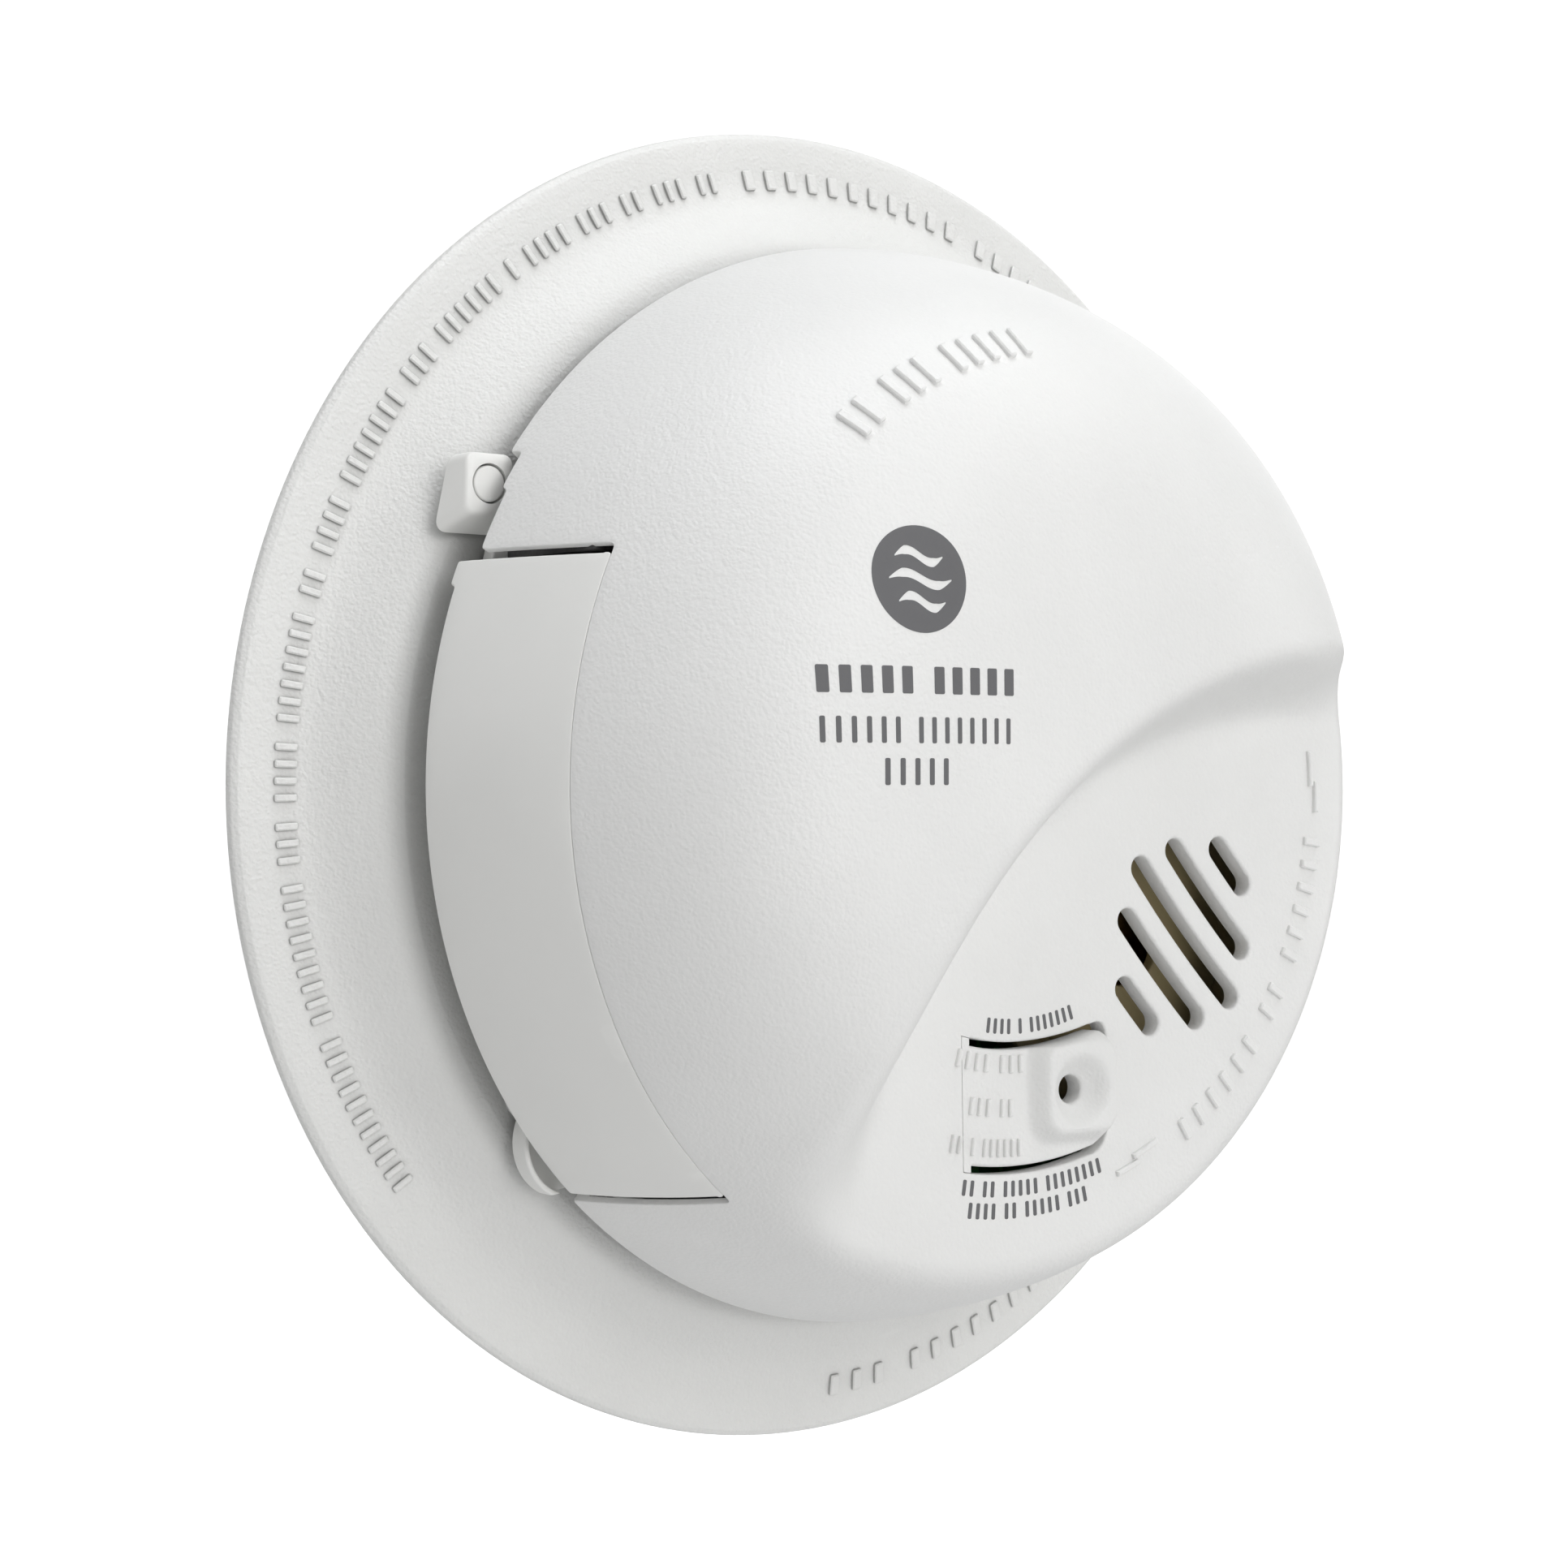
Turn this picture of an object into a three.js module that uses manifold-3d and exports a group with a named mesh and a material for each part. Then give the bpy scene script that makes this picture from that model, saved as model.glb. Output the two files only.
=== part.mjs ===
// Wall-mounted carbon monoxide alarm: twist-lock bracket, round base, domed cover, swing-out battery drawer.
// Everything is drawn in the face frame: X right, Y up, Z out of the wall, wall plane at Z = 0, millimetres.
// The last group turns that frame upright, so the finished part faces -Y with +Z up.
import * as THREE from 'three';
import { mergeVertices } from 'three/addons/utils/BufferGeometryUtils.js';
import Module from 'manifold-3d';

const wasm = await Module();
wasm.setup();

// ---- driving dimensions ----
const DEG = Math.PI / 180;
const GAP = 0.3;                       // clearance between touching pieces
const RIM_R = 71;                      // outer radius of the base's flange
const RIM_BACK = 0.6;                  // the flange stays this far off the wall
const COVER_R = 57;                    // radius of the cover at its open edge
const COVER_EDGE = 13.1;               // height of that edge above the wall
const DOME_TOP = 49.1;                 // height of the dome's crown
const DOME_POWER = 5.3;                // how square the dome's shoulder is
const DOME_FALL = 0.8;                 // how steeply the shoulder falls to the edge
const SHELL = 2.2;                     // cover wall thickness
const SCOOP_LEVEL = 35.9;              // height of the scooped floor at its middle
const SCOOP_MIDDLE = [30, -30];
const SCOOP_TILT = [0.055, -0.023];    // rise of the scooped floor per mm, along X and Y
const SCOOP_BLEND = 3;                 // rounding where the floor meets the shoulder
const RIDGE = { x: 36, y: -57, r: 72 };    // arc where the dome starts to fall into the scoop
const FOOT = { x: 38, y: -51.5, r: 58.2 }; // arc where the fall meets the scooped floor
const DOME_RINGS = 17;
const DOME_SECTORS = 66;

const FLOOR_TOP = 9.2;                 // inside face of the base's floor
const FLOOR_BACK = 7.4;                // rear face of the base's floor
const POCKET_R = 52;                   // pocket in the base's back that takes the bracket
const SPIGOT_R = 52.5;                 // wall on the base that centres the cover
const SPIGOT_TOP = 16;

const BRACKET_R = 46;
const BRACKET_HOLE_R = 24;
const BRACKET_T = 2.2;
const LUG_ANGLES = [20, 140, 260];     // bayonet hooks and lugs
const HOOK_SPAN = 20;                  // degrees covered by each hook, and turned to free it

const PIN = { x: -49, y: 28.9, r: 1.75, top: 12.75 };  // drawer hinge pin
const PIN_CLEAR = 0.2;
const EAR = { w: 5.4, h: 5.9, low: 9.5, top: 12.8, armTop: 12 };   // hinge block on the drawer and its arm
const DRAWER_TOP_Y = 21.3;             // upper edge of the drawer
const OPENING_TOP_Y = 22.2;            // upper edge of its opening
const DRAWER_SWING_R = 69.3;           // lower edge of the drawer, about the pin
const OPENING_SWING_R = 70.1;
const DRAWER_LIP_Z = 15.6;             // rear edge of the drawer's outside skin
const DRAWER_FACE_Z = 30.3;            // front edge of the skin
const OPENING_FACE_Z = 30.6;
const DRAWER_FLOOR = [9.5, 10.9];
const DRAWER_WALL = 1.4;
const NOTCH_TOP_Y = 32;                // relief in the cover's edge over the hinge
const NOTCH_Z = 18.6;
const LIP = { x: -41.2, y: -35.2, r: 5.6, wall: 0.9, inner: 53.4, low: 10.1, top: 12.6 };  // cup to pull the drawer

const BATTERY = { length: 46, width: 26.5, depth: 17.5, angle: 188, outer: 41.3, shift: -1.6, low: 11.2 };
const TERMINAL_GAP = 12.7;             // between the battery's two snap terminals
const TERMINAL_LENGTH = 2.5;

const VENT = { x: 23.3, y: -15.95, width: 2.6, pitch: 4.93, drift: 0.41, bow: 135, aim: 41.6 * DEG };
const VENT_LENGTHS = [7.6, 16.7, 21.3, 16.7, 7.6];
const HORN = { x: 23.4, y: -16.8, r: 15, wall: 1.4, top: 26.5, lid: 1.5, floor: 20, hole: 5 };
const WINDOW = { high: 25.9, low: 39.15, right: 12 };  // window of the test button, between two arcs
const TAB = { root: -7.2, slotEnd: -6.2, slot: 0.75, rightGap: 0.4 };
const PAD = { x: 6.2, y: -31.1, w: 10.6, h: 10.8, rise: 1.7, hole: 1.45 };
const SWITCH = { x: 0, y: -31.4, side: 6, low: 15.5, top: 19, bore: 2 };
const PLUNGER = { r: 1.7, low: 17.9, top: 22.5 };

const BOARD = { low: 13.6, top: 15.2, r: 48.5, chord: 11.8 };
const ON_BOARD = BOARD.top + GAP;
const SCREWS = [[2, 43], [41, -20], [38, 27]];
const INLET = { x: 3, y: 2, w: 26, h: 12, low: 2.6, top: 12.8, wall: 1.8, floor: 10.6 };

// ---- materials ----
const paint = (color, roughness, metalness = 0) =>
  new THREE.MeshStandardMaterial({ color, roughness, metalness });
const MAT = {
  cover: paint(0xeeeeeb, 0.55), base: paint(0xe9eae6, 0.55), smooth: paint(0xf0efec, 0.4),
  bracket: paint(0xe4e4e0, 0.6), board: paint(0x1f5a34, 0.5), black: paint(0x1b1b1b, 0.5),
  brass: paint(0xb08d45, 0.35, 0.9), steel: paint(0xb9bcc0, 0.3, 0.9), nickel: paint(0xcfcfca, 0.25, 0.9),
  horn: paint(0x3a3128, 0.6), film: paint(0xc9a227, 0.5), can: paint(0x2b3f66, 0.4),
  varistor: paint(0x2459a8, 0.45), clear: paint(0xe8f2f2, 0.1), led: paint(0xb02020, 0.3),
  jacket: paint(0x3c4650, 0.35), label: paint(0xd8d8d2, 0.7),
};

// ---- solids ----
const face = new THREE.Group();
face.rotation.x = Math.PI / 2;

function solid(geometry) {
  const g = geometry.index ? geometry.clone() : geometry;
  g.deleteAttribute('normal');
  g.deleteAttribute('uv');
  const m = mergeVertices(g, 1e-4);
  return new wasm.Manifold(new wasm.Mesh({
    numProp: 3,
    vertProperties: new Float32Array(m.attributes.position.array),
    triVerts: new Uint32Array(m.index.array),
  }));
}

function add(name, shape, material) {
  const mesh = shape.getMesh();
  const g = new THREE.BufferGeometry();
  g.setAttribute('position', new THREE.BufferAttribute(mesh.vertProperties, 3));
  g.setIndex(new THREE.BufferAttribute(mesh.triVerts, 1));
  g.computeVertexNormals();
  const node = new THREE.Mesh(g, material);
  node.name = name;
  face.add(node);
}

const box = (x0, x1, y0, y1, z0, z1) =>
  solid(new THREE.BoxGeometry(x1 - x0, y1 - y0, z1 - z0)
    .translate((x0 + x1) / 2, (y0 + y1) / 2, (z0 + z1) / 2));

const rod = (x, y, r, z0, z1, sides = 20, rTop = r) =>
  solid(new THREE.CylinderGeometry(rTop, r, z1 - z0, sides)
    .rotateX(Math.PI / 2).translate(x, y, (z0 + z1) / 2));

const turned = (profile, sides = 60) =>
  solid(new THREE.LatheGeometry(profile.map(([r, z]) => new THREE.Vector2(r, z)), sides)
    .rotateX(Math.PI / 2));

const prism = (shape, z0, z1, curveSegments = 6) =>
  solid(new THREE.ExtrudeGeometry(shape, { depth: z1 - z0, bevelEnabled: false, curveSegments })
    .translate(0, 0, z0));

function roundedRect(x, y, w, h, r) {
  const s = new THREE.Shape();
  const [a, b, c, d] = [x - w / 2, x + w / 2, y - h / 2, y + h / 2];
  s.moveTo(a + r, c);
  s.lineTo(b - r, c);
  s.absarc(b - r, c + r, r, -Math.PI / 2, 0);
  s.lineTo(b, d - r);
  s.absarc(b - r, d - r, r, 0, Math.PI / 2);
  s.lineTo(a + r, d);
  s.absarc(a + r, d - r, r, Math.PI / 2, Math.PI);
  s.lineTo(a, c + r);
  s.absarc(a + r, c + r, r, Math.PI, 1.5 * Math.PI);
  return s;
}

function slotShape(x, y, length, width, angle) {
  const half = (length - width) / 2;
  const [cx, cy] = [Math.cos(angle) * half, Math.sin(angle) * half];
  const s = new THREE.Shape();
  s.absarc(x + cx, y + cy, width / 2, angle - Math.PI / 2, angle + Math.PI / 2);
  s.absarc(x - cx, y - cy, width / 2, angle + Math.PI / 2, angle + 1.5 * Math.PI);
  return s;
}

function ringSector(r0, r1, a0, a1) {
  const s = new THREE.Shape();
  s.absarc(0, 0, r1, a0 * DEG, a1 * DEG, false);
  s.absarc(0, 0, r0, a1 * DEG, a0 * DEG, true);
  return s;
}

const polygon = (points) => new THREE.Shape(points.map(([x, y]) => new THREE.Vector2(x, y)));
const joinAll = (first, ...rest) => rest.reduce((sum, piece) => sum.add(piece), first);
const cutAll = (first, ...rest) => rest.reduce((left, piece) => left.subtract(piece), first);

// ---- the cover's surface ----
const fromArc = (x, y, arc) => (x > arc.x ? y - arc.y : Math.hypot(x - arc.x, y - arc.y));

function softMin(a, b, width) {
  const t = THREE.MathUtils.clamp(0.5 + 0.5 * (b - a) / width, 0, 1);
  return b * (1 - t) + a * t - width * t * (1 - t);
}

function domeHeight(r) {
  const share = Math.max(1 - Math.min(r / COVER_R, 1) ** DOME_POWER, 0);
  return COVER_EDGE + (DOME_TOP - COVER_EDGE) * share ** DOME_FALL;
}

const scoopFloor = (x, y) =>
  SCOOP_LEVEL + SCOOP_TILT[0] * (x - SCOOP_MIDDLE[0]) + SCOOP_TILT[1] * (y - SCOOP_MIDDLE[1]);

function coverHeight(x, y) {
  const dome = domeHeight(Math.hypot(x, y));
  const inside = RIDGE.r - fromArc(x, y, RIDGE);
  const outside = fromArc(x, y, FOOT) - FOOT.r;
  if (inside <= 0) return dome;
  const low = softMin(dome, scoopFloor(x, y), SCOOP_BLEND);
  if (outside <= 0) return low;
  const t = THREE.MathUtils.smoothstep(outside / (inside + outside), 0, 1);
  return THREE.MathUtils.lerp(low, dome, t);
}

// Rings are evenly spaced over the crown and crowd together where the shoulder steepens.
const ringRadius = (share) => COVER_R * (0.4 * share + 0.6 * Math.sin(Math.PI / 2 * share));

// A closed solid under the cover's surface, drawn in by `inset` all round; its rear face is at `bottom`.
function domeSolid(inset, bottom, rings = DOME_RINGS, sectors = DOME_SECTORS) {
  const scale = (COVER_R - inset) / COVER_R;
  const points = [0, 0, coverHeight(0, 0) - inset];
  for (let i = 1; i <= rings; i += 1) {
    const r = ringRadius(i / rings);
    for (let j = 0; j < sectors; j += 1) {
      const a = 2 * Math.PI * j / sectors;
      const [x, y] = [r * Math.cos(a), r * Math.sin(a)];
      points.push(x * scale, y * scale, Math.max(coverHeight(x, y) - inset, bottom + 0.05));
    }
  }
  for (let j = 0; j < sectors; j += 1) {
    const a = 2 * Math.PI * j / sectors;
    points.push(COVER_R * scale * Math.cos(a), COVER_R * scale * Math.sin(a), bottom);
  }
  points.push(0, 0, bottom);
  const at = (ring, j) => 1 + ring * sectors + (j % sectors);
  const last = 1 + (rings + 1) * sectors;
  const faces = [];
  for (let j = 0; j < sectors; j += 1) {
    faces.push(0, at(0, j), at(0, j + 1));
    for (let i = 0; i < rings; i += 1) {
      faces.push(at(i, j), at(i + 1, j), at(i + 1, j + 1), at(i, j), at(i + 1, j + 1), at(i, j + 1));
    }
    faces.push(last, at(rings, j + 1), at(rings, j));
  }
  const g = new THREE.BufferGeometry();
  g.setAttribute('position', new THREE.BufferAttribute(new Float32Array(points), 3));
  g.setIndex(faces);
  return solid(g);
}

const OUTER_DOME = domeSolid(0, COVER_EDGE);
const INNER_DOME = domeSolid(SHELL, COVER_EDGE - 1);

// ---- the drawer's footprint ----
const AWAY = [Math.cos(BATTERY.angle * DEG), Math.sin(BATTERY.angle * DEG)];  // from the axis to the battery
const ALONG = [AWAY[1], -AWAY[0]];                                            // battery's length, upwards
const spot = (out, up) => [out * AWAY[0] + up * ALONG[0], out * AWAY[1] + up * ALONG[1]];
const FAR = 90;                        // past every edge of the part

const swingDisc = (r, z0, z1) => rod(PIN.x, PIN.y, r, z0, z1, 90);

function drawerRegion(topY, swingR, innerOut, z0, z1) {
  const strip = prism(polygon([spot(innerOut, FAR), spot(FAR, FAR), spot(FAR, -FAR), spot(innerOut, -FAR)]),
    z0, z1);
  const below = box(-FAR, FAR, -FAR, topY, z0, z1);
  return strip.intersect(below).intersect(swingDisc(swingR, z0, z1));
}

const slab = (out0, out1, up0, up1, z0, z1) =>
  prism(polygon([spot(out0, up0), spot(out1, up0), spot(out1, up1), spot(out0, up1)]), z0, z1);

const INNER_OUT = BATTERY.outer - BATTERY.width - GAP - DRAWER_WALL;
const MIDDLE_OUT = BATTERY.outer - BATTERY.width / 2;
const BATTERY_TOP = BATTERY.shift + (BATTERY.length + TERMINAL_LENGTH) / 2 - TERMINAL_LENGTH;
const BATTERY_LOW = BATTERY_TOP - BATTERY.length;
const OPEN_TOP_X = -44.5;              // the drawer's top wall stops here, clear of the contacts

// ---- bracket on the wall ----
function hook(angle) {
  const web = prism(ringSector(43.5, BRACKET_R, angle, angle + HOOK_SPAN), 1, 7, 4);
  const lip = prism(ringSector(43.5, 51, angle, angle + HOOK_SPAN), 5.3, 7, 4);
  const stop = prism(ringSector(45, 50.6, angle - 3, angle + 0.2), 1, 6.6, 2);
  return joinAll(web, lip, stop);
}

function mountingBracket() {
  const plate = turned([[BRACKET_HOLE_R, 0], [BRACKET_R, 0], [BRACKET_R, BRACKET_T],
    [BRACKET_HOLE_R, BRACKET_T], [BRACKET_HOLE_R, 0]], 48);
  const rib = turned([[26, 1], [27.4, 1], [27.4, 4.6], [26, 4.6], [26, 1]], 48);
  const slots = [[-40.6, 0, 90], [40.6, 0, 90], [0, -35, 0], [0, 35, 0]]
    .map(([x, y, a]) => prism(slotShape(x, y, 10, 3.8, a * DEG), -1, 4, 4));
  return cutAll(joinAll(plate, rib, ...LUG_ANGLES.map(hook)), ...slots);
}

function lockingPin(x, y, angle) {
  const stem = slotShape(0, 0, 15, 2.4, 0);
  const head = roundedRect(-6.5, 1.6, 2.4, 5.2, 1);
  const flat = prism(stem, 0, 2, 3).add(prism(head, 0, 2, 2));
  return flat.rotate([0, 0, angle]).translate([x, y, BRACKET_T + GAP]);
}

add('mounting_bracket', mountingBracket(), MAT.bracket);
add('locking_pin_1', lockingPin(-33, 12, 70), MAT.bracket);
add('locking_pin_2', lockingPin(34, -14, 70), MAT.bracket);

// ---- base with flange ----
const FLANGE = [[0, FLOOR_BACK], [POCKET_R, FLOOR_BACK], [POCKET_R, 1.2], [53.6, 1.2], [53.6, FLOOR_BACK],
  [57.5, 6.2], [63, 2], [66.3, 1.1], [69.2, 1.1], [69.4, RIM_BACK], [70.8, RIM_BACK], [RIM_R, 1.5],
  [70.3, 2.6], [66.3, 2.8], [64, 3.4], [61.5, 5.1], [59, 7.1], [56.5, 8.6], [SPIGOT_R, FLOOR_TOP],
  [0, FLOOR_TOP]];

const lug = (angle) =>
  prism(ringSector(48.2, POCKET_R + 0.8, angle + 1, angle + HOOK_SPAN - 2), 2.6, 4.9, 4);

function baseHousing() {
  const spigot = turned([[SPIGOT_R - 1.5, FLOOR_TOP - 1], [SPIGOT_R, FLOOR_TOP - 1], [SPIGOT_R, SPIGOT_TOP],
    [SPIGOT_R - 1.5, SPIGOT_TOP], [SPIGOT_R - 1.5, FLOOR_TOP - 1]]);
  const swingPath = box(-FAR, -8, -FAR, NOTCH_TOP_Y + 4, FLOOR_TOP, FAR)
    .intersect(swingDisc(OPENING_SWING_R, FLOOR_TOP, FAR));
  const standing = spigot.subtract(swingPath);
  const bosses = SCREWS.map(([x, y]) => rod(x, y, 3.4, FLOOR_TOP - 1, BOARD.low - GAP, 14));
  const hingeBoss = rod(PIN.x, PIN.y, 4.6, FLOOR_BACK, FLOOR_TOP);
  const whole = joinAll(turned(FLANGE), standing, hingeBoss, ...bosses, ...LUG_ANGLES.map(lug));
  const pinSeat = rod(PIN.x, PIN.y, PIN.r + GAP, 8.2, FAR);
  const lockHole = rod(-41.6, -32, 2, 8, FAR);
  const inletHole = box(INLET.x - INLET.w / 2 - GAP, INLET.x + INLET.w / 2 + GAP,
    INLET.y - INLET.h / 2 - GAP, INLET.y + INLET.h / 2 + GAP, 0, FAR);
  const screwHoles = SCREWS.map(([x, y]) => rod(x, y, 1.3, FLOOR_TOP, FAR, 10));
  return cutAll(whole, pinSeat, lockHole, inletHole, ...screwHoles);
}

add('base_housing', baseHousing(), MAT.base);
add('drawer_hinge_pin', rod(PIN.x, PIN.y, PIN.r, 8.5, PIN.top), MAT.smooth);
add('rating_label', prism(ringSector(27, 42, 200, 340), FLOOR_BACK - GAP - 0.4, FLOOR_BACK - GAP, 12), MAT.label);

// ---- domed cover ----
// The sound slots lie on arcs about one far point. Each lies a little further along than the one before.
function ventSlot(length, index) {
  const step = index - 2;
  const r = VENT.bow - step * VENT.pitch;
  const [x, y] = [VENT.x + VENT.bow * Math.cos(VENT.aim), VENT.y + VENT.bow * Math.sin(VENT.aim)];
  const middle = VENT.aim + Math.PI - step * VENT.drift / r;
  const half = (length - VENT.width) / 2 / r;
  const [a, b] = [middle - half, middle + half];
  const end = (angle) => [x + r * Math.cos(angle), y + r * Math.sin(angle), VENT.width / 2];
  const s = new THREE.Shape();
  s.absarc(x, y, r + VENT.width / 2, a, b, false);
  s.absarc(...end(b), b, b + Math.PI, false);
  s.absarc(x, y, r - VENT.width / 2, b, a, true);
  s.absarc(...end(a), a + Math.PI, a + 2 * Math.PI, false);
  return prism(s, 20, FAR, 4);
}

// The region between the window's two arcs, from x0 to x1, drawn in by `slot` at both arcs.
function betweenArcs(x0, x1, slot) {
  const sector = prism(ringSector(WINDOW.high + slot, WINDOW.low - slot, -112, -56), 20, FAR, 24);
  return sector.intersect(box(x0, x1, -FAR, 0, 20, FAR));
}

const coverLeg = (angle) => prism(ringSector(53, 55.2, angle - 5, angle + 5), FLOOR_TOP + GAP, 20, 3);

function drawerOpening() {
  const side = drawerRegion(OPENING_TOP_Y, OPENING_SWING_R, INNER_OUT - 2, 0, OPENING_FACE_Z);
  const notch = box(-FAR, -38, OPENING_TOP_Y - 1, NOTCH_TOP_Y, 0, NOTCH_Z);
  return side.add(notch);
}

function frontCover() {
  const legs = [5, 65, -55].map(coverLeg);
  const shell = joinAll(OUTER_DOME.subtract(INNER_DOME), ...legs);
  const tabWindow = betweenArcs(TAB.root, WINDOW.right, 0);
  return cutAll(shell, drawerOpening(), tabWindow, ...VENT_LENGTHS.map(ventSlot));
}

add('front_cover', frontCover(), MAT.cover);

// ---- test button, hinged at its left end ----
function testButton() {
  const tongue = betweenArcs(TAB.root + GAP, WINDOW.right - TAB.rightGap, TAB.slot);
  const root = betweenArcs(TAB.root + GAP, TAB.slotEnd, GAP);
  const skin = OUTER_DOME.subtract(INNER_DOME).intersect(tongue.add(root));
  const level = scoopFloor(PAD.x, PAD.y);
  const pad = prism(roundedRect(PAD.x, PAD.y, PAD.w, PAD.h, 3.6), level - SHELL + 0.2, level + PAD.rise, 4);
  const dish = rod(PAD.x, PAD.y, 1.6, level + 0.7, level + PAD.rise + 0.1, 20, 2.9);
  const stem = box(SWITCH.x - 1.5, SWITCH.x + 1.5, SWITCH.y - 1.5, SWITCH.y + 1.5,
    PLUNGER.top + GAP, level - SHELL + 0.6);
  const hole = rod(PAD.x, PAD.y, PAD.hole, 20, FAR);
  return joinAll(skin, pad, stem).subtract(dish).subtract(hole);
}

add('test_button', testButton(), MAT.cover);

// ---- battery drawer ----
function drawerTray() {
  const [low, high] = [DRAWER_FLOOR[0], DRAWER_FACE_Z - 1];
  const footprint = drawerRegion(DRAWER_TOP_Y, DRAWER_SWING_R, INNER_OUT, low, high);
  const fit = domeSolid(SHELL - 0.3, low - 1).intersect(footprint);
  const well = slab(INNER_OUT + DRAWER_WALL, FAR, -FAR, FAR, DRAWER_FLOOR[1], FAR)
    .intersect(swingDisc(DRAWER_SWING_R - 1.1, 0, FAR))
    .intersect(box(-FAR, FAR, -FAR, DRAWER_TOP_Y - DRAWER_WALL, 0, FAR));
  const openTop = box(OPEN_TOP_X, FAR, 10, FAR, DRAWER_FLOOR[1], FAR);
  return fit.subtract(well).subtract(openTop);
}

function drawerSkin() {
  const region = drawerRegion(DRAWER_TOP_Y, DRAWER_SWING_R, INNER_OUT, DRAWER_LIP_Z, DRAWER_FACE_Z);
  const rim = OUTER_DOME.subtract(domeSolid(SHELL + 0.2, COVER_EDGE - 1));
  const tab = box(-60, -50, DRAWER_TOP_Y - 2.4, DRAWER_TOP_Y, DRAWER_LIP_Z - 1, DRAWER_LIP_Z + 1)
    .intersect(OUTER_DOME).subtract(rod(0, 0, COVER_R - 2.2, 0, FAR, 60));
  return rim.intersect(region).add(tab);
}

// Joins the tray's floor to the skin's rear edge, so that the drawer is one moulding.
function drawerSill() {
  const [low, high] = [DRAWER_FLOOR[0], DRAWER_LIP_Z + 1.5];
  const ring = turned([[52.6, low], [54.4, low], [54.9, high], [52.6, high], [52.6, low]]);
  return ring.intersect(drawerRegion(DRAWER_TOP_Y, DRAWER_SWING_R, INNER_OUT, low - 1, high + 1));
}

function fingerLip() {
  const bulge = rod(LIP.x, LIP.y, LIP.r, LIP.low, LIP.top, 32);
  const hollow = rod(LIP.x, LIP.y, LIP.r - LIP.wall, LIP.low + LIP.wall, FAR, 32);
  return bulge.subtract(hollow).intersect(swingDisc(DRAWER_SWING_R, 0, FAR))
    .subtract(rod(0, 0, LIP.inner, 0, FAR, 72));
}

function hingeEar() {
  const block = prism(roundedRect(PIN.x, PIN.y, EAR.w, EAR.h, 1), EAR.low, EAR.top, 4);
  const arm = prism(polygon([[-51, 27], [-46.3, 27.5], [-43.2, 20], [-51.2, 19.4]]),
    EAR.low, EAR.armTop);
  return block.add(arm).subtract(rod(PIN.x, PIN.y, PIN.r + PIN_CLEAR, 0, FAR));
}

add('battery_drawer', joinAll(drawerTray(), drawerSkin(), drawerSill(), fingerLip(), hingeEar()), MAT.smooth);

// ---- nine-volt battery ----
const [BAT_LOW, BAT_TOP] = [BATTERY.low, BATTERY.low + BATTERY.depth];
const CAP_LENGTH = 3;

const batterySlab = (up0, up1, shrink) => slab(BATTERY.outer - BATTERY.width + shrink, BATTERY.outer - shrink,
  up0, up1, BAT_LOW + shrink, BAT_TOP - shrink);

add('battery_case', batterySlab(BATTERY_LOW, BATTERY_TOP - CAP_LENGTH - GAP, 0), MAT.jacket);
add('battery_cap', batterySlab(BATTERY_TOP - CAP_LENGTH, BATTERY_TOP - GAP, 0.3), MAT.black);

function snapTerminal(out, r, wall) {
  const [x, y] = spot(out, BATTERY_TOP);
  const stud = new THREE.CylinderGeometry(r, r, TERMINAL_LENGTH - GAP, 20);
  const bore = new THREE.CylinderGeometry(r - wall, r - wall, TERMINAL_LENGTH, 20).translate(0, 1, 0);
  const shape = wall > 0 ? solid(stud).subtract(solid(bore)) : solid(stud);
  const middle = (TERMINAL_LENGTH - GAP) / 2 + 0.05;
  return shape.rotate([0, 0, BATTERY.angle - 180])
    .translate([x + ALONG[0] * middle, y + ALONG[1] * middle, (BAT_LOW + BAT_TOP) / 2]);
}

add('battery_terminal_negative', snapTerminal(MIDDLE_OUT + TERMINAL_GAP / 2, 4.2, 1), MAT.nickel);
add('battery_terminal_positive', snapTerminal(MIDDLE_OUT - TERMINAL_GAP / 2, 2.9, 0), MAT.nickel);

// ---- battery contacts, fixed above the drawer ----
add('contact_block', box(-41.5, -21, 22.6, 25.6, FLOOR_TOP + GAP, 27), MAT.black);
function batteryContact(out) {
  const [x, y] = spot(out, BATTERY_TOP + TERMINAL_LENGTH + GAP);
  const leaf = box(x - 2.6, x + 2.6, y + 0.4, y + 1, 14.5, 24.5);
  const leg = box(x - 1.2, x + 1.2, y + 0.6, 22.6 - GAP, 18.4, 20.4);
  return leaf.add(leg);
}
add('battery_contact_negative', batteryContact(MIDDLE_OUT + TERMINAL_GAP / 2), MAT.nickel);
add('battery_contact_positive', batteryContact(MIDDLE_OUT - TERMINAL_GAP / 2), MAT.nickel);

// ---- circuit board and what stands on it ----
function circuitBoard() {
  const disc = rod(0, 0, BOARD.r, BOARD.low, BOARD.top, 48);
  const keep = slab(-FAR, BOARD.chord, -FAR, FAR, 0, FAR);
  const holes = SCREWS.map(([x, y]) => rod(x, y, 1.7, 0, FAR, 10));
  return cutAll(disc.intersect(keep), ...holes);
}

function boardScrew([x, y]) {
  const head = rod(x, y, 2.8, ON_BOARD, ON_BOARD + 1.8, 12, 2.2);
  const shank = rod(x, y, 1, FLOOR_TOP + 0.4, ON_BOARD + 0.5, 8);
  const cross = joinAll(box(x - 1.5, x + 1.5, y - 0.3, y + 0.3, ON_BOARD + 0.9, FAR),
    box(x - 0.3, x + 0.3, y - 1.5, y + 1.5, ON_BOARD + 0.9, FAR));
  return head.add(shank).subtract(cross);
}

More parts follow.
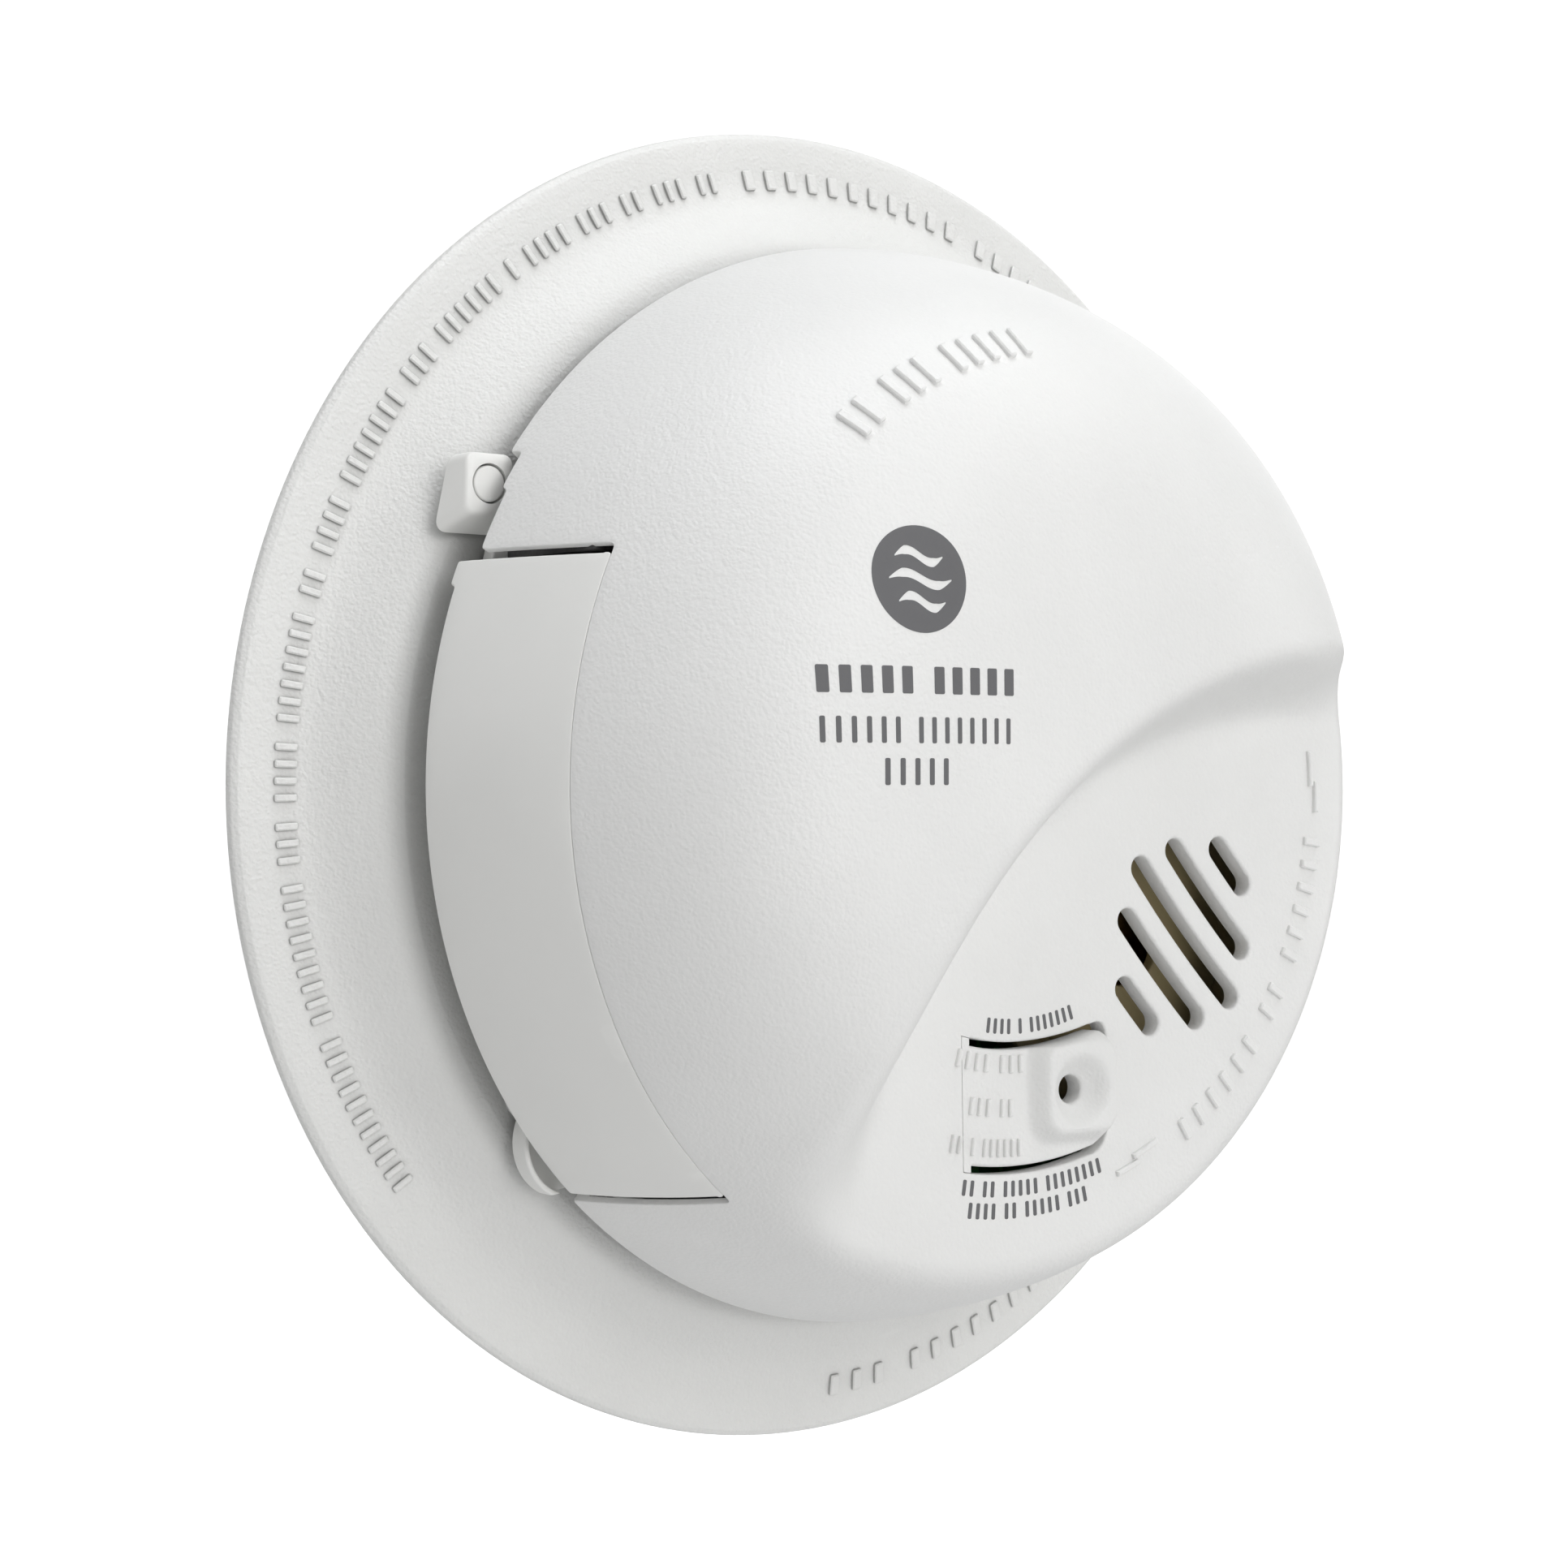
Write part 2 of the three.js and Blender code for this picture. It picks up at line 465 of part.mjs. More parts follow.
function hornHousing() {
  const inside = HORN.r - HORN.wall;
  const under = HORN.top - HORN.lid;
  const cup = turned([[0, ON_BOARD], [HORN.r - 0.4, ON_BOARD], [HORN.r, HORN.top], [HORN.hole, HORN.top],
    [HORN.hole, under], [inside, under], [inside, HORN.floor], [0, HORN.floor], [0, ON_BOARD]], 30);
  return cup.translate([HORN.x, HORN.y, 0]);
}

add('circuit_board', circuitBoard(), MAT.board);
SCREWS.forEach((place, i) => add(`board_screw_${i + 1}`, boardScrew(place), MAT.steel));
add('horn_housing', hornHousing(), MAT.horn);
add('piezo_disc', rod(HORN.x, HORN.y, 12.8, HORN.floor + GAP, HORN.floor + 1, 30), MAT.brass);
add('co_sensor_cell', rod(23, 25, 10, ON_BOARD, 31, 24), MAT.nickel);
add('co_sensor_cap', turned([[0, 31.3], [10.2, 31.3], [10.2, 33.4], [9.4, 34.2], [2.2, 34.2], [2.2, 33],
  [0, 33], [0, 31.3]], 24).translate([23, 25, 0]), MAT.black);
add('microcontroller', box(-3, 10, 10.5, 18.5, ON_BOARD, ON_BOARD + 2.6), MAT.black);
add('film_capacitor', box(-9, 9, 27, 35, ON_BOARD, ON_BOARD + 13), MAT.film);
add('electrolytic_capacitor', rod(-4, -16, 5, ON_BOARD, ON_BOARD + 14), MAT.can);
add('varistor', solid(new THREE.CylinderGeometry(5, 5, 3.6, 20)).translate([40, 8, ON_BOARD + 5]), MAT.varistor);
add('alarm_led', rod(PAD.x, PAD.y, 1.5, ON_BOARD, 20, 20), MAT.led);
add('light_pipe', rod(PAD.x, PAD.y, 1.3, 20 + GAP, 31.6, 20), MAT.clear);

// ---- tactile switch under the button ----
add('switch_body', cutAll(
  box(SWITCH.x - SWITCH.side / 2, SWITCH.x + SWITCH.side / 2,
    SWITCH.y - SWITCH.side / 2, SWITCH.y + SWITCH.side / 2, SWITCH.low, SWITCH.top),
  rod(SWITCH.x, SWITCH.y, SWITCH.bore, PLUNGER.low - 1.2, FAR)), MAT.black);
add('switch_plunger', rod(SWITCH.x, SWITCH.y, PLUNGER.r, PLUNGER.low, PLUNGER.top), MAT.steel);

// ---- mains inlet in the base's back ----
function inletSocket() {
  const [w, h] = [INLET.w, INLET.h];
  const body = prism(roundedRect(INLET.x, INLET.y, w, h, 1.5), INLET.low, INLET.top, 4);
  const well = prism(roundedRect(INLET.x, INLET.y, w - 2 * INLET.wall, h - 2 * INLET.wall, 1),
    0, INLET.floor, 4);
  return body.subtract(well);
}

add('inlet_socket', inletSocket(), MAT.black);
[-7, 0, 7].forEach((dx, i) => {
  const x = INLET.x + dx;
  add(`inlet_pin_${i + 1}`, box(x - 1.2, x + 1.2, INLET.y - 0.5, INLET.y + 0.5, 7, INLET.floor - GAP), MAT.brass);
});

export default face;
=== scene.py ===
"""Carbon monoxide alarm: fine meshes, procedural materials and studio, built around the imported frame.

Shapes are worked out in the face frame, in millimetres: X right, Y up, Z out of the wall, wall at Z = 0.
A point (x, y, z) of that frame is (x, -z, y) / 1000 in the scene. The camera looks at the front (-Y).
"""

import math

import bmesh
import bpy
import numpy as np
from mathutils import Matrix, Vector
from mathutils.geometry import delaunay_2d_cdt
from mathutils.kdtree import KDTree


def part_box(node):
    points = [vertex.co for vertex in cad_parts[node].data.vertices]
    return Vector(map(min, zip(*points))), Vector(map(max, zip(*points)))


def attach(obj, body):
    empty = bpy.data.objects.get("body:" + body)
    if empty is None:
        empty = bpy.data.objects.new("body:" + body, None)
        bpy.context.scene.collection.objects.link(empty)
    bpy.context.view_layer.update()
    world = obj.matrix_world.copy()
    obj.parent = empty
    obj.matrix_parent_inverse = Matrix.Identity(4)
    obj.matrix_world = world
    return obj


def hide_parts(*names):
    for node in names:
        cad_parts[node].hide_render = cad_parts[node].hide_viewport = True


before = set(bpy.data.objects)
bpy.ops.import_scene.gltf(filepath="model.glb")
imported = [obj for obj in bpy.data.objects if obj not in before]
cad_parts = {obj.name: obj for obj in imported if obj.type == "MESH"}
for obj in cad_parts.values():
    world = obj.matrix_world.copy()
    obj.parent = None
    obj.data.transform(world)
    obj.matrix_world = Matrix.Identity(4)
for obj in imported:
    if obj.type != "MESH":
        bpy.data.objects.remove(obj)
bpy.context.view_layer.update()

MM = 0.001


def node_box(*names):
    """The corners of some CAD nodes together, in the face frame."""
    lows, highs = zip(*(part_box(name) for name in names))
    low = [min(p[i] for p in lows) / MM for i in range(3)]
    high = [max(p[i] for p in highs) / MM for i in range(3)]
    return np.array([low[0], low[2], -high[1]]), np.array([high[0], high[2], -low[1]])


# ---- driving dimensions, in millimetres ----
GAP = 0.3
BASE_LOW, BASE_HIGH = node_box("base_housing")
COVER_HIGH = node_box("front_cover")[1]
RIM_R = BASE_HIGH[0]
RIM_BACK = BASE_LOW[2]
COVER_R = COVER_HIGH[1]
COVER_EDGE = 13.1                    # height of the cover's open edge
DOME_TOP = COVER_HIGH[2]
DOME_POWER = 5.3
DOME_FALL = 0.8
SHELL = 2.2
THIN_WALL = 0.7                       # the cover's wall beside the drawer's two ends
THIN_BAND = 1.6                       # and how far that thin wall reaches
SCOOP_LEVEL = 35.9
SCOOP_MIDDLE = (30.0, -30.0)
SCOOP_TILT = (0.055, -0.023)
SCOOP_BLEND = 3.0
RIDGE = (36.0, -57.0, 72.0)          # x, y and radius of the arc where the dome starts to fall
FOOT = (38.0, -51.5, 58.2)           # and of the arc where the fall meets the scooped floor

FLOOR_TOP = 9.2
FLOOR_BACK = 7.4
POCKET_R = 52.0
SPIGOT_R = 52.5
SPIGOT_TOP = 16.0

PIN_LOW, PIN_HIGH = node_box("drawer_hinge_pin")
PIN = (PIN_LOW + PIN_HIGH) / 2
PIN_R = (PIN_HIGH[0] - PIN_LOW[0]) / 2
DRAWER_TOP_Y = 21.3
OPENING_TOP_Y = 22.2
DRAWER_SWING_R = 69.3
OPENING_SWING_R = 70.1
DRAWER_LIP_Z = 13.8
DRAWER_FACE_Z = 30.3
PARTING = 0.14                       # the drawer's front edge closes to this gap
NOTCH_TOP_Y = 32.0
NOTCH_STEP_Y = 28.2                  # the notch is a little shallower above this
NOTCH_Z = (15.0, 15.8)

VENT = dict(x=23.3, y=-15.95, width=2.6, pitch=4.93, drift=0.41, bow=135.0, aim=41.6)
VENT_LENGTHS = (7.6, 16.7, 21.3, 16.7, 7.6)
TAB_ROOT_X = -7.2                    # hinge line of the test button
SLOT_END_X = -6.2                    # where the slots beside it stop
WINDOW_RIGHT_X = 12.0
WINDOW_R = (25.9, 39.15)             # the window's upper and lower edges are arcs about the middle
SLOT_WIDTH = 0.75
SLOT_RIGHT = 0.35                    # width of the slot at the button's right edge
PAD = dict(x=7.1, y=-30.7, half_w=6.15, half_h=6.2, corner=3.6, crown=2.1, slope=2.0)
KEY = (0.0, -31.4)                    # middle of the key switch under the button
DIMPLE = dict(x=6.9, y=-31.1, r=4.1, deep=1.9, hole=1.45)


# ---- small geometry helpers ----
def to_scene(points):
    p = np.asarray(points, float)
    return np.stack([p[:, 0], -p[:, 2], p[:, 1]], axis=1) * MM


class Shape:
    """Vertices in the face frame and faces as tuples of their numbers."""

    def __init__(self, points, faces):
        self.points = np.asarray(points, float).reshape(-1, 3)
        self.faces = [tuple(int(i) for i in f) for f in faces]

    def moved(self, x=0.0, y=0.0, z=0.0):
        return Shape(self.points + np.array([x, y, z]), self.faces)

    def turned(self, degrees):
        """Turned about the Z axis."""
        c, s = math.cos(math.radians(degrees)), math.sin(math.radians(degrees))
        x, y, z = self.points.T
        return Shape(np.stack([x * c - y * s, x * s + y * c, z], axis=1), self.faces)

    def tipped(self):
        """A shape made along Z, with Y and Z exchanged."""
        x, y, z = self.points.T
        return Shape(np.stack([x, z, y], axis=1), self.faces)

    def laid(self):
        """A shape made along Z, laid along Y instead."""
        x, y, z = self.points.T
        return Shape(np.stack([y, z, x], axis=1), self.faces)


def joined(*shapes):
    points, faces, start = [], [], 0
    for s in shapes:
        points.append(s.points)
        faces += [tuple(i + start for i in f) for f in s.faces]
        start += len(s.points)
    return Shape(np.concatenate(points), faces)


def arc(x, y, r, a0, a1, steps):
    return [(x + r * math.cos(math.radians(a0 + (a1 - a0) * k / steps)),
             y + r * math.sin(math.radians(a0 + (a1 - a0) * k / steps))) for k in range(steps + 1)]


def rounded_rect(x, y, w, h, r, steps=5):
    a, b, c, d = x - w / 2 + r, x + w / 2 - r, y - h / 2 + r, y + h / 2 - r
    return (arc(b, c, r, -90, 0, steps) + arc(b, d, r, 0, 90, steps)
            + arc(a, d, r, 90, 180, steps) + arc(a, c, r, 180, 270, steps))


def slot_loop(x, y, length, width, degrees, steps=10):
    half = (length - width) / 2
    c, s = math.cos(math.radians(degrees)) * half, math.sin(math.radians(degrees)) * half
    return (arc(x + c, y + s, width / 2, degrees - 90, degrees + 90, steps)
            + arc(x - c, y - s, width / 2, degrees + 90, degrees + 270, steps))


def ring_sector(r0, r1, a0, a1, steps=12):
    return arc(0, 0, r1, a0, a1, steps) + arc(0, 0, r0, a1, a0, steps)


def inset(loop, d):
    """A counter-clockwise loop drawn in by d, which is one value or one for each point."""
    d = np.asarray(d, float).reshape(-1, 1)
    p = np.asarray(loop, float)
    before = p - np.roll(p, 1, axis=0)
    after = np.roll(p, -1, axis=0) - p
    n0 = np.stack([-before[:, 1], before[:, 0]], axis=1)
    n1 = np.stack([-after[:, 1], after[:, 0]], axis=1)
    n0 /= np.maximum(np.linalg.norm(n0, axis=1, keepdims=True), 1e-9)
    n1 /= np.maximum(np.linalg.norm(n1, axis=1, keepdims=True), 1e-9)
    mitre = (n0 + n1) / np.maximum(1 + (n0 * n1).sum(axis=1, keepdims=True), 0.35)
    return p + mitre * d


def distinct(loop):
    """The loop without points that repeat."""
    kept = []
    for p in loop:
        if not kept or math.dist(p, kept[-1]) > 1e-4:
            kept.append(tuple(p))
    if math.dist(kept[0], kept[-1]) < 1e-4:
        kept.pop()
    return kept


def resampled(loop, step):
    """The same loop with points about step apart."""
    p = np.asarray(list(loop) + [loop[0]], float)
    lengths = np.concatenate([[0], np.cumsum(np.linalg.norm(np.diff(p, axis=0), axis=1))])
    count = max(8, int(round(lengths[-1] / step)))
    at = np.linspace(0, lengths[-1], count, endpoint=False)
    return np.stack([np.interp(at, lengths, p[:, 0]), np.interp(at, lengths, p[:, 1])], axis=1)


def softened(loop, passes):
    """Rounds the corners of a finely divided loop."""
    p = np.asarray(loop, float)
    for _ in range(passes):
        p = (np.roll(p, 1, axis=0) + 2 * p + np.roll(p, -1, axis=0)) / 4
    return p


def rings_to_shape(rings):
    """A skin over rings of points, all with the same count, with flat caps at its two ends."""
    count = len(rings[0])
    points = np.concatenate([np.asarray(r, float) for r in rings])
    faces = []
    for k in range(len(rings) - 1):
        a, b = k * count, (k + 1) * count
        faces += [(a + j, a + (j + 1) % count, b + (j + 1) % count, b + j) for j in range(count)]
    faces.append(tuple(reversed(range(count))))
    faces.append(tuple(range((len(rings) - 1) * count, len(rings) * count)))
    return Shape(points, faces)


EDGE_TURNS = (90, 60, 30, 0)


def prism(loop, z0, z1, edge=0.0, low_edge=None):
    """An upright solid over a counter-clockwise loop, its rims rounded by edge and low_edge."""
    low_edge = edge if low_edge is None else low_edge
    loop = distinct(loop)
    rings = []

    def ring(d, z):
        flat = inset(loop, d)
        rings.append(np.concatenate([flat, np.full((len(flat), 1), z)], axis=1))

    if low_edge > 0:
        for a in EDGE_TURNS[:-1]:
            t = math.radians(a)
            ring(low_edge * (1 - math.cos(t)), z0 + low_edge * (1 - math.sin(t)))
    ring(0, z0 + max(low_edge, 0))
    ring(0, z1 - max(edge, 0))
    if edge > 0:
        for a in reversed(EDGE_TURNS[:-1]):
            t = math.radians(a)
            ring(edge * (1 - math.cos(t)), z1 - edge * (1 - math.sin(t)))
    return rings_to_shape(rings)


def lathe(profile, sectors, x=0.0, y=0.0):
    """Revolves (r, z) points about Z. The profile runs from the back outwards to the front, and closes."""
    profile = [tuple(p) for p in profile]
    on_axis = profile[0][0] < 1e-6 and profile[-1][0] < 1e-6
    points, index = [], []
    for r, z in profile:
        if r < 1e-6:
            index.append([len(points)] * sectors)
            points.append((x, y, z))
        else:
            index.append(list(range(len(points), len(points) + sectors)))
            for j in range(sectors):
                a = 2 * math.pi * j / sectors
                points.append((x + r * math.cos(a), y + r * math.sin(a), z))
    faces = []
    count = len(profile) if not on_axis else len(profile) - 1
    for k in range(count):
        a, b = index[k], index[(k + 1) % len(profile)]
        for j in range(sectors):
            n = (j + 1) % sectors
            corners = []
            for c in (a[j], a[n], b[n], b[j]):
                if c not in corners:
                    corners.append(c)
            if len(corners) > 2:
                faces.append(tuple(corners))
    return Shape(points, faces)


def filleted(profile, radius, steps=3, closed=True):
    """A profile with its corners rounded. radius is one value or one for each point."""
    n = len(profile)
    radii = [radius] * n if isinstance(radius, (int, float)) else list(radius)
    out = []
    for i, p in enumerate(profile):
        if radii[i] <= 0 or (not closed and i in (0, n - 1)):
            out.append(tuple(p))
            continue
        p = np.array(p, float)
        a = np.array(profile[i - 1], float) - p
        b = np.array(profile[(i + 1) % n], float) - p
        la, lb = np.linalg.norm(a), np.linalg.norm(b)
        cosine = float(np.clip(a @ b / (la * lb), -1, 1))
        half = math.acos(cosine) / 2
        if half > math.radians(85):
            out.append(tuple(p))
            continue
        reach = min(radii[i] / math.tan(half), 0.45 * la, 0.45 * lb)
        start, end = p + a / la * reach, p + b / lb * reach
        for k in range(steps + 1):
            t = k / steps
            out.append(tuple((1 - t) ** 2 * start + 2 * t * (1 - t) * p + t ** 2 * end))
    return out


def spun(profile, radii, steps, sectors, x=0.0, y=0.0):
    """A solid turned from a rounded profile whose ends are on the axis."""
    return lathe(filleted(profile, radii, steps, closed=False), sectors, x, y)


def curve_through(points, steps=6):
    """A smooth curve through some points."""
    p = np.asarray([points[0]] + list(points) + [points[-1]], float)
    out = []
    for i in range(1, len(p) - 2):
        for k in range(steps):
            t = k / steps
            out.append(tuple(0.5 * (2 * p[i] + (p[i + 1] - p[i - 1]) * t
                                    + (2 * p[i - 1] - 5 * p[i] + 4 * p[i + 1] - p[i + 2]) * t ** 2
                                    + (3 * p[i] - p[i - 1] - 3 * p[i + 1] + p[i + 2]) * t ** 3)))
    return out + [tuple(points[-1])]


def as_object(name, shape):
    data = bpy.data.meshes.new(name)
    data.from_pydata(shape.points.tolist(), [], shape.faces)
    obj = bpy.data.objects.new(name, data)
    bpy.context.scene.collection.objects.link(obj)
    return obj


def boolean(shape, other, operation):
    target, tool = as_object("work_a", shape), as_object("work_b", other)
    modifier = target.modifiers.new("boolean", "BOOLEAN")
    modifier.operation = operation
    modifier.object = tool
    modifier.solver = "EXACT"
    data = target.evaluated_get(bpy.context.evaluated_depsgraph_get()).to_mesh()
    points = np.array([v.co[:] for v in data.vertices])
    faces = [tuple(f.vertices) for f in data.polygons]
    for obj in (target, tool):
        mesh = obj.data
        bpy.data.objects.remove(obj)
        bpy.data.meshes.remove(mesh)
    return Shape(points, faces)


def cut(shape, *tools):
    """The shape less the tools."""
    for tool in tools:
        shape = boolean(shape, tool, "DIFFERENCE")
    return shape


def within(shape, *tools):
    """The part of the shape that is inside every tool."""
    for tool in tools:
        shape = boolean(shape, tool, "INTERSECT")
    return shape


SHARP = math.radians(38)              # edges sharper than this are shaded flat


def publish(name, shape, look, body, *replaced):
    """Makes the scene's mesh from a shape and ties it to the frame, in place of the CAD nodes `replaced`."""
    material, slot = LOOKS[look]
    obj = as_object(name, Shape(to_scene(shape.points), shape.faces))
    work = bmesh.new()
    work.from_mesh(obj.data)
    bmesh.ops.remove_doubles(work, verts=work.verts, dist=2e-7)
    bmesh.ops.recalc_face_normals(work, faces=work.faces)
    work.to_mesh(obj.data)
    work.free()
    obj.data.shade_smooth()
    obj.data.set_sharp_from_angle(angle=SHARP)
    obj.data.materials.append(material)
    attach(obj, body)
    if replaced:
        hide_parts(*replaced)


# ---- the cover's surface ----
def dome_height(r):
    share = np.clip(1 - np.minimum(r / COVER_R, 1) ** DOME_POWER, 0, None)
    return COVER_EDGE + (DOME_TOP - COVER_EDGE) * share ** DOME_FALL


TABLE_STEPS = 6000
_q = np.linspace(0, 1, TABLE_STEPS + 1)
_table_r = COVER_R * (1 - (1 - _q) ** 3)
_table_z = dome_height(_table_r)
_table_s = np.concatenate([[0], np.cumsum(np.hypot(np.diff(_table_r), np.diff(_table_z)))])
EDGE_S = float(_table_s[-1])         # length of the dome's profile, from the middle to the edge
PAST = 3.0                           # the tables run on straight past the edge by this much
_table_s = np.append(_table_s, EDGE_S + PAST)
_table_r = np.append(_table_r, COVER_R + 0.02 * PAST)
_table_z = np.append(_table_z, COVER_EDGE - PAST)


def unrolled(x, y):
    """The place in the unrolled plane of a point (x, y) on the dome."""
    x, y = np.asarray(x, float), np.asarray(y, float)
    r = np.maximum(np.hypot(x, y), 1e-9)
    grow = np.interp(r, _table_r, _table_s) / r
    return np.stack([x * grow, y * grow], axis=-1)


def from_arc(x, y, where):
    return np.where(x > where[0], y - where[1], np.hypot(x - where[0], y - where[1]))


def scooped(x, y, dome):
    floor = SCOOP_LEVEL + SCOOP_TILT[0] * (x - SCOOP_MIDDLE[0]) + SCOOP_TILT[1] * (y - SCOOP_MIDDLE[1])
    t = np.clip(0.5 + 0.5 * (floor - dome) / SCOOP_BLEND, 0, 1)
    low = floor * (1 - t) + dome * t - SCOOP_BLEND * t * (1 - t)
    inside = RIDGE[2] - from_arc(x, y, RIDGE)
    outside = np.maximum(from_arc(x, y, FOOT) - FOOT[2], 0)
    share = np.clip(outside / np.maximum(inside + outside, 1e-6), 0, 1)
    share = share * share * (3 - 2 * share)
    return np.where(inside <= 0, dome, low + (dome - low) * share)


def cover_points(uv):
    s = np.maximum(np.hypot(uv[:, 0], uv[:, 1]), 1e-9)
    r = np.interp(s, _table_s, _table_r)
    dome = np.interp(s, _table_s, _table_z)
    x, y = uv[:, 0] * r / s, uv[:, 1] * r / s
    return np.stack([x, y, scooped(x, y, dome)], axis=1)


def cover_normals(uv, step=0.05):
    du, dv = np.array([step, 0]), np.array([0, step])
    along_u = cover_points(uv + du) - cover_points(uv - du)
    along_v = cover_points(uv + dv) - cover_points(uv - dv)
    n = np.cross(along_u, along_v)
    return n / np.linalg.norm(n, axis=1, keepdims=True)


def on_cover(xy, height):
    """Points at some height over the cover's surface, above or below the points (x, y)."""
    xy = np.asarray(xy, float)
    uv = unrolled(xy[:, 0], xy[:, 1])
    return cover_points(uv) + cover_normals(uv) * np.asarray(height, float).reshape(-1, 1)


# ---- sheets: shells and prints that follow a surface ----
def inside_loops(points, loops):
    """True for the points inside the first loop and outside the others."""
    inside = np.zeros(len(points), bool)
    x, y = points[:, 0], points[:, 1]
    for loop in loops:
        p = np.asarray(loop, float)
        q = np.roll(p, -1, axis=0)
        for (ax, ay), (bx, by) in zip(p, q):
            if ay == by:
                continue
            crosses = (ay > y) != (by > y)
            inside ^= crosses & (x < ax + (y - ay) * (bx - ax) / (by - ay))
    return inside


def filled(loops, spacing):
    """Triangles over the first loop less the others: (points, triangles, one index list for each loop)."""
    outer = np.asarray(loops[0], float)
    low, high = outer.min(axis=0), outer.max(axis=0)
    rows = np.arange(low[1], high[1], spacing * math.sqrt(3) / 2)
    grid = []
    for k, v in enumerate(rows):
        u = np.arange(low[0] + (k % 2) * spacing / 2, high[0], spacing)
        grid.append(np.stack([u, np.full(len(u), v)], axis=1))
    grid = np.concatenate(grid) if grid else np.zeros((0, 2))
    tree = KDTree(sum(len(loop) for loop in loops))
    k = 0
    for loop in loops:
        for p in loop:
            tree.insert((p[0], p[1], 0), k)
            k += 1
    tree.balance()
    grid = grid[inside_loops(grid, loops)]
    clear = [tree.find((p[0], p[1], 0))[2] > spacing * 0.6 for p in grid]
    grid = grid[np.array(clear, bool)] if len(grid) else grid
    coords, edges, indexes = [], [], []
    for loop in loops:
        start, n = len(coords), len(loop)
        coords += [Vector((float(p[0]), float(p[1]))) for p in loop]
        edges += [(start + j, start + (j + 1) % n) for j in range(n)]
        indexes.append(list(range(start, start + n)))
    coords += [Vector((float(p[0]), float(p[1]))) for p in grid]
    verts, _, faces, origins, _, _ = delaunay_2d_cdt(coords, edges, [], 0, 1e-7)
    place = {}
    for new, olds in enumerate(origins):
        for old in olds:
            place[old] = new
    points = np.array([v[:] for v in verts])
    middles = np.array([points[list(f)].mean(axis=0) for f in faces])
    keep = inside_loops(middles, loops)
    triangles = [tuple(f) for f, k in zip(faces, keep) if k]
    return points, triangles, [[place[i] for i in loop] for loop in indexes]


LIP_TURNS = tuple(math.radians(a) for a in (67, 45, 22, 0))


def shell(loops, spacing, thickness, lip_at, relief=None):
    """A closed shell on the cover's surface over loops in the unrolled plane, its outer lips rounded.
    thickness is the wall, or thickness(points) gives it, as lip_at(points) gives the lip's radius and
    relief(points) extra height."""
    loops = [np.asarray(loop, float) for loop in loops]
    lips = [np.asarray(lip_at(cover_points(loop)), float) for loop in loops]
    flat, triangles, places = filled([inset(loop, lip) for loop, lip in zip(loops, lips)], spacing)

    def raised(uv, drop):
        p = cover_points(uv)
        extra = relief(p) if relief else np.zeros(len(p))
        return p + cover_normals(uv) * (extra - drop)[:, None]

    def sunk(uv):
        p = cover_points(uv)
        wall = thickness(p) if callable(thickness) else np.full(len(p), thickness)
        return p - cover_normals(uv) * wall[:, None]

    points = [raised(flat, np.zeros(len(flat))), sunk(flat)]
    total = 2 * len(flat)
    faces = list(triangles) + [tuple(reversed([i + len(flat) for i in f])) for f in triangles]
    for loop, lip, place in zip(loops, lips, places):
        n = len(loop)
        last = place
        for turn in LIP_TURNS:
            points.append(raised(inset(loop, lip * (1 - math.cos(turn))), lip * (1 - math.sin(turn))))
            ring = list(range(total, total + n))
            faces += [(last[j], ring[j], ring[(j + 1) % n], last[(j + 1) % n]) for j in range(n)]
            total += n
            last = ring
        points.append(sunk(loop))
        ring = list(range(total, total + n))
        under = [i + len(flat) for i in place]
        faces += [(last[j], ring[j], ring[(j + 1) % n], last[(j + 1) % n]) for j in range(n)]
        faces += [(ring[j], under[j], under[(j + 1) % n], ring[(j + 1) % n]) for j in range(n)]
        total += n
    return Shape(np.concatenate(points), faces)


def clockwise(loop):
    return list(reversed([tuple(p) for p in loop]))


def stamp(loops, surface, lift, sink, draft=0.0, spacing=None):
    """A solid that follows a surface: loops of (x, y), raised by lift and sunk by sink.
    The first loop is the outline, and the others are holes in it. draft slopes its sides."""
    loops = [np.asarray(distinct(loops[0]), float)] + [np.asarray(clockwise(distinct(h)), float) for h in loops[1:]]
    top = [inset(loop, draft) for loop in loops] if draft > 0 else loops
    if spacing is None:
        flat, triangles = np.concatenate(top), [tuple(range(len(top[0])))]
        places = [list(range(len(top[0])))]
    else:
        flat, triangles, places = filled(top, spacing)
    points = [surface(flat, np.full(len(flat), lift))]
    total = len(flat)
    faces = list(triangles)
    bottoms = []
    for loop, place in zip(loops, places):
        n = len(loop)
        shoulder = surface(loop, np.full(n, lift - draft)) if draft > 0 else None
        last = place
        if draft > 0:
            points.append(shoulder)
            ring = list(range(total, total + n))
            total += n
            faces += [(last[j], ring[j], ring[(j + 1) % n], last[(j + 1) % n]) for j in range(n)]
            last = ring
        points.append(surface(loop, np.full(n, -sink)))
        ring = list(range(total, total + n))
        total += n
        faces += [(last[j], ring[j], ring[(j + 1) % n], last[(j + 1) % n]) for j in range(n)]
        bottoms.append((place, ring))
    if spacing is None:
        faces.append(tuple(reversed(bottoms[0][1])))
    else:
        start = total
        points.append(surface(flat, np.full(len(flat), -sink)))
        swap = {i: i + start for i in range(len(flat))}
        for place, ring in bottoms:
            for a, b in zip(place, ring):
                swap[a] = b
        faces += [tuple(reversed([swap[i] for i in f])) for f in triangles]
    return used(Shape(np.concatenate(points), faces))


def used(shape):
    """The shape without points that no face uses."""
    numbers = sorted({i for f in shape.faces for i in f})
    new = {old: k for k, old in enumerate(numbers)}
    return Shape(shape.points[numbers], [tuple(new[i] for i in f) for f in shape.faces])


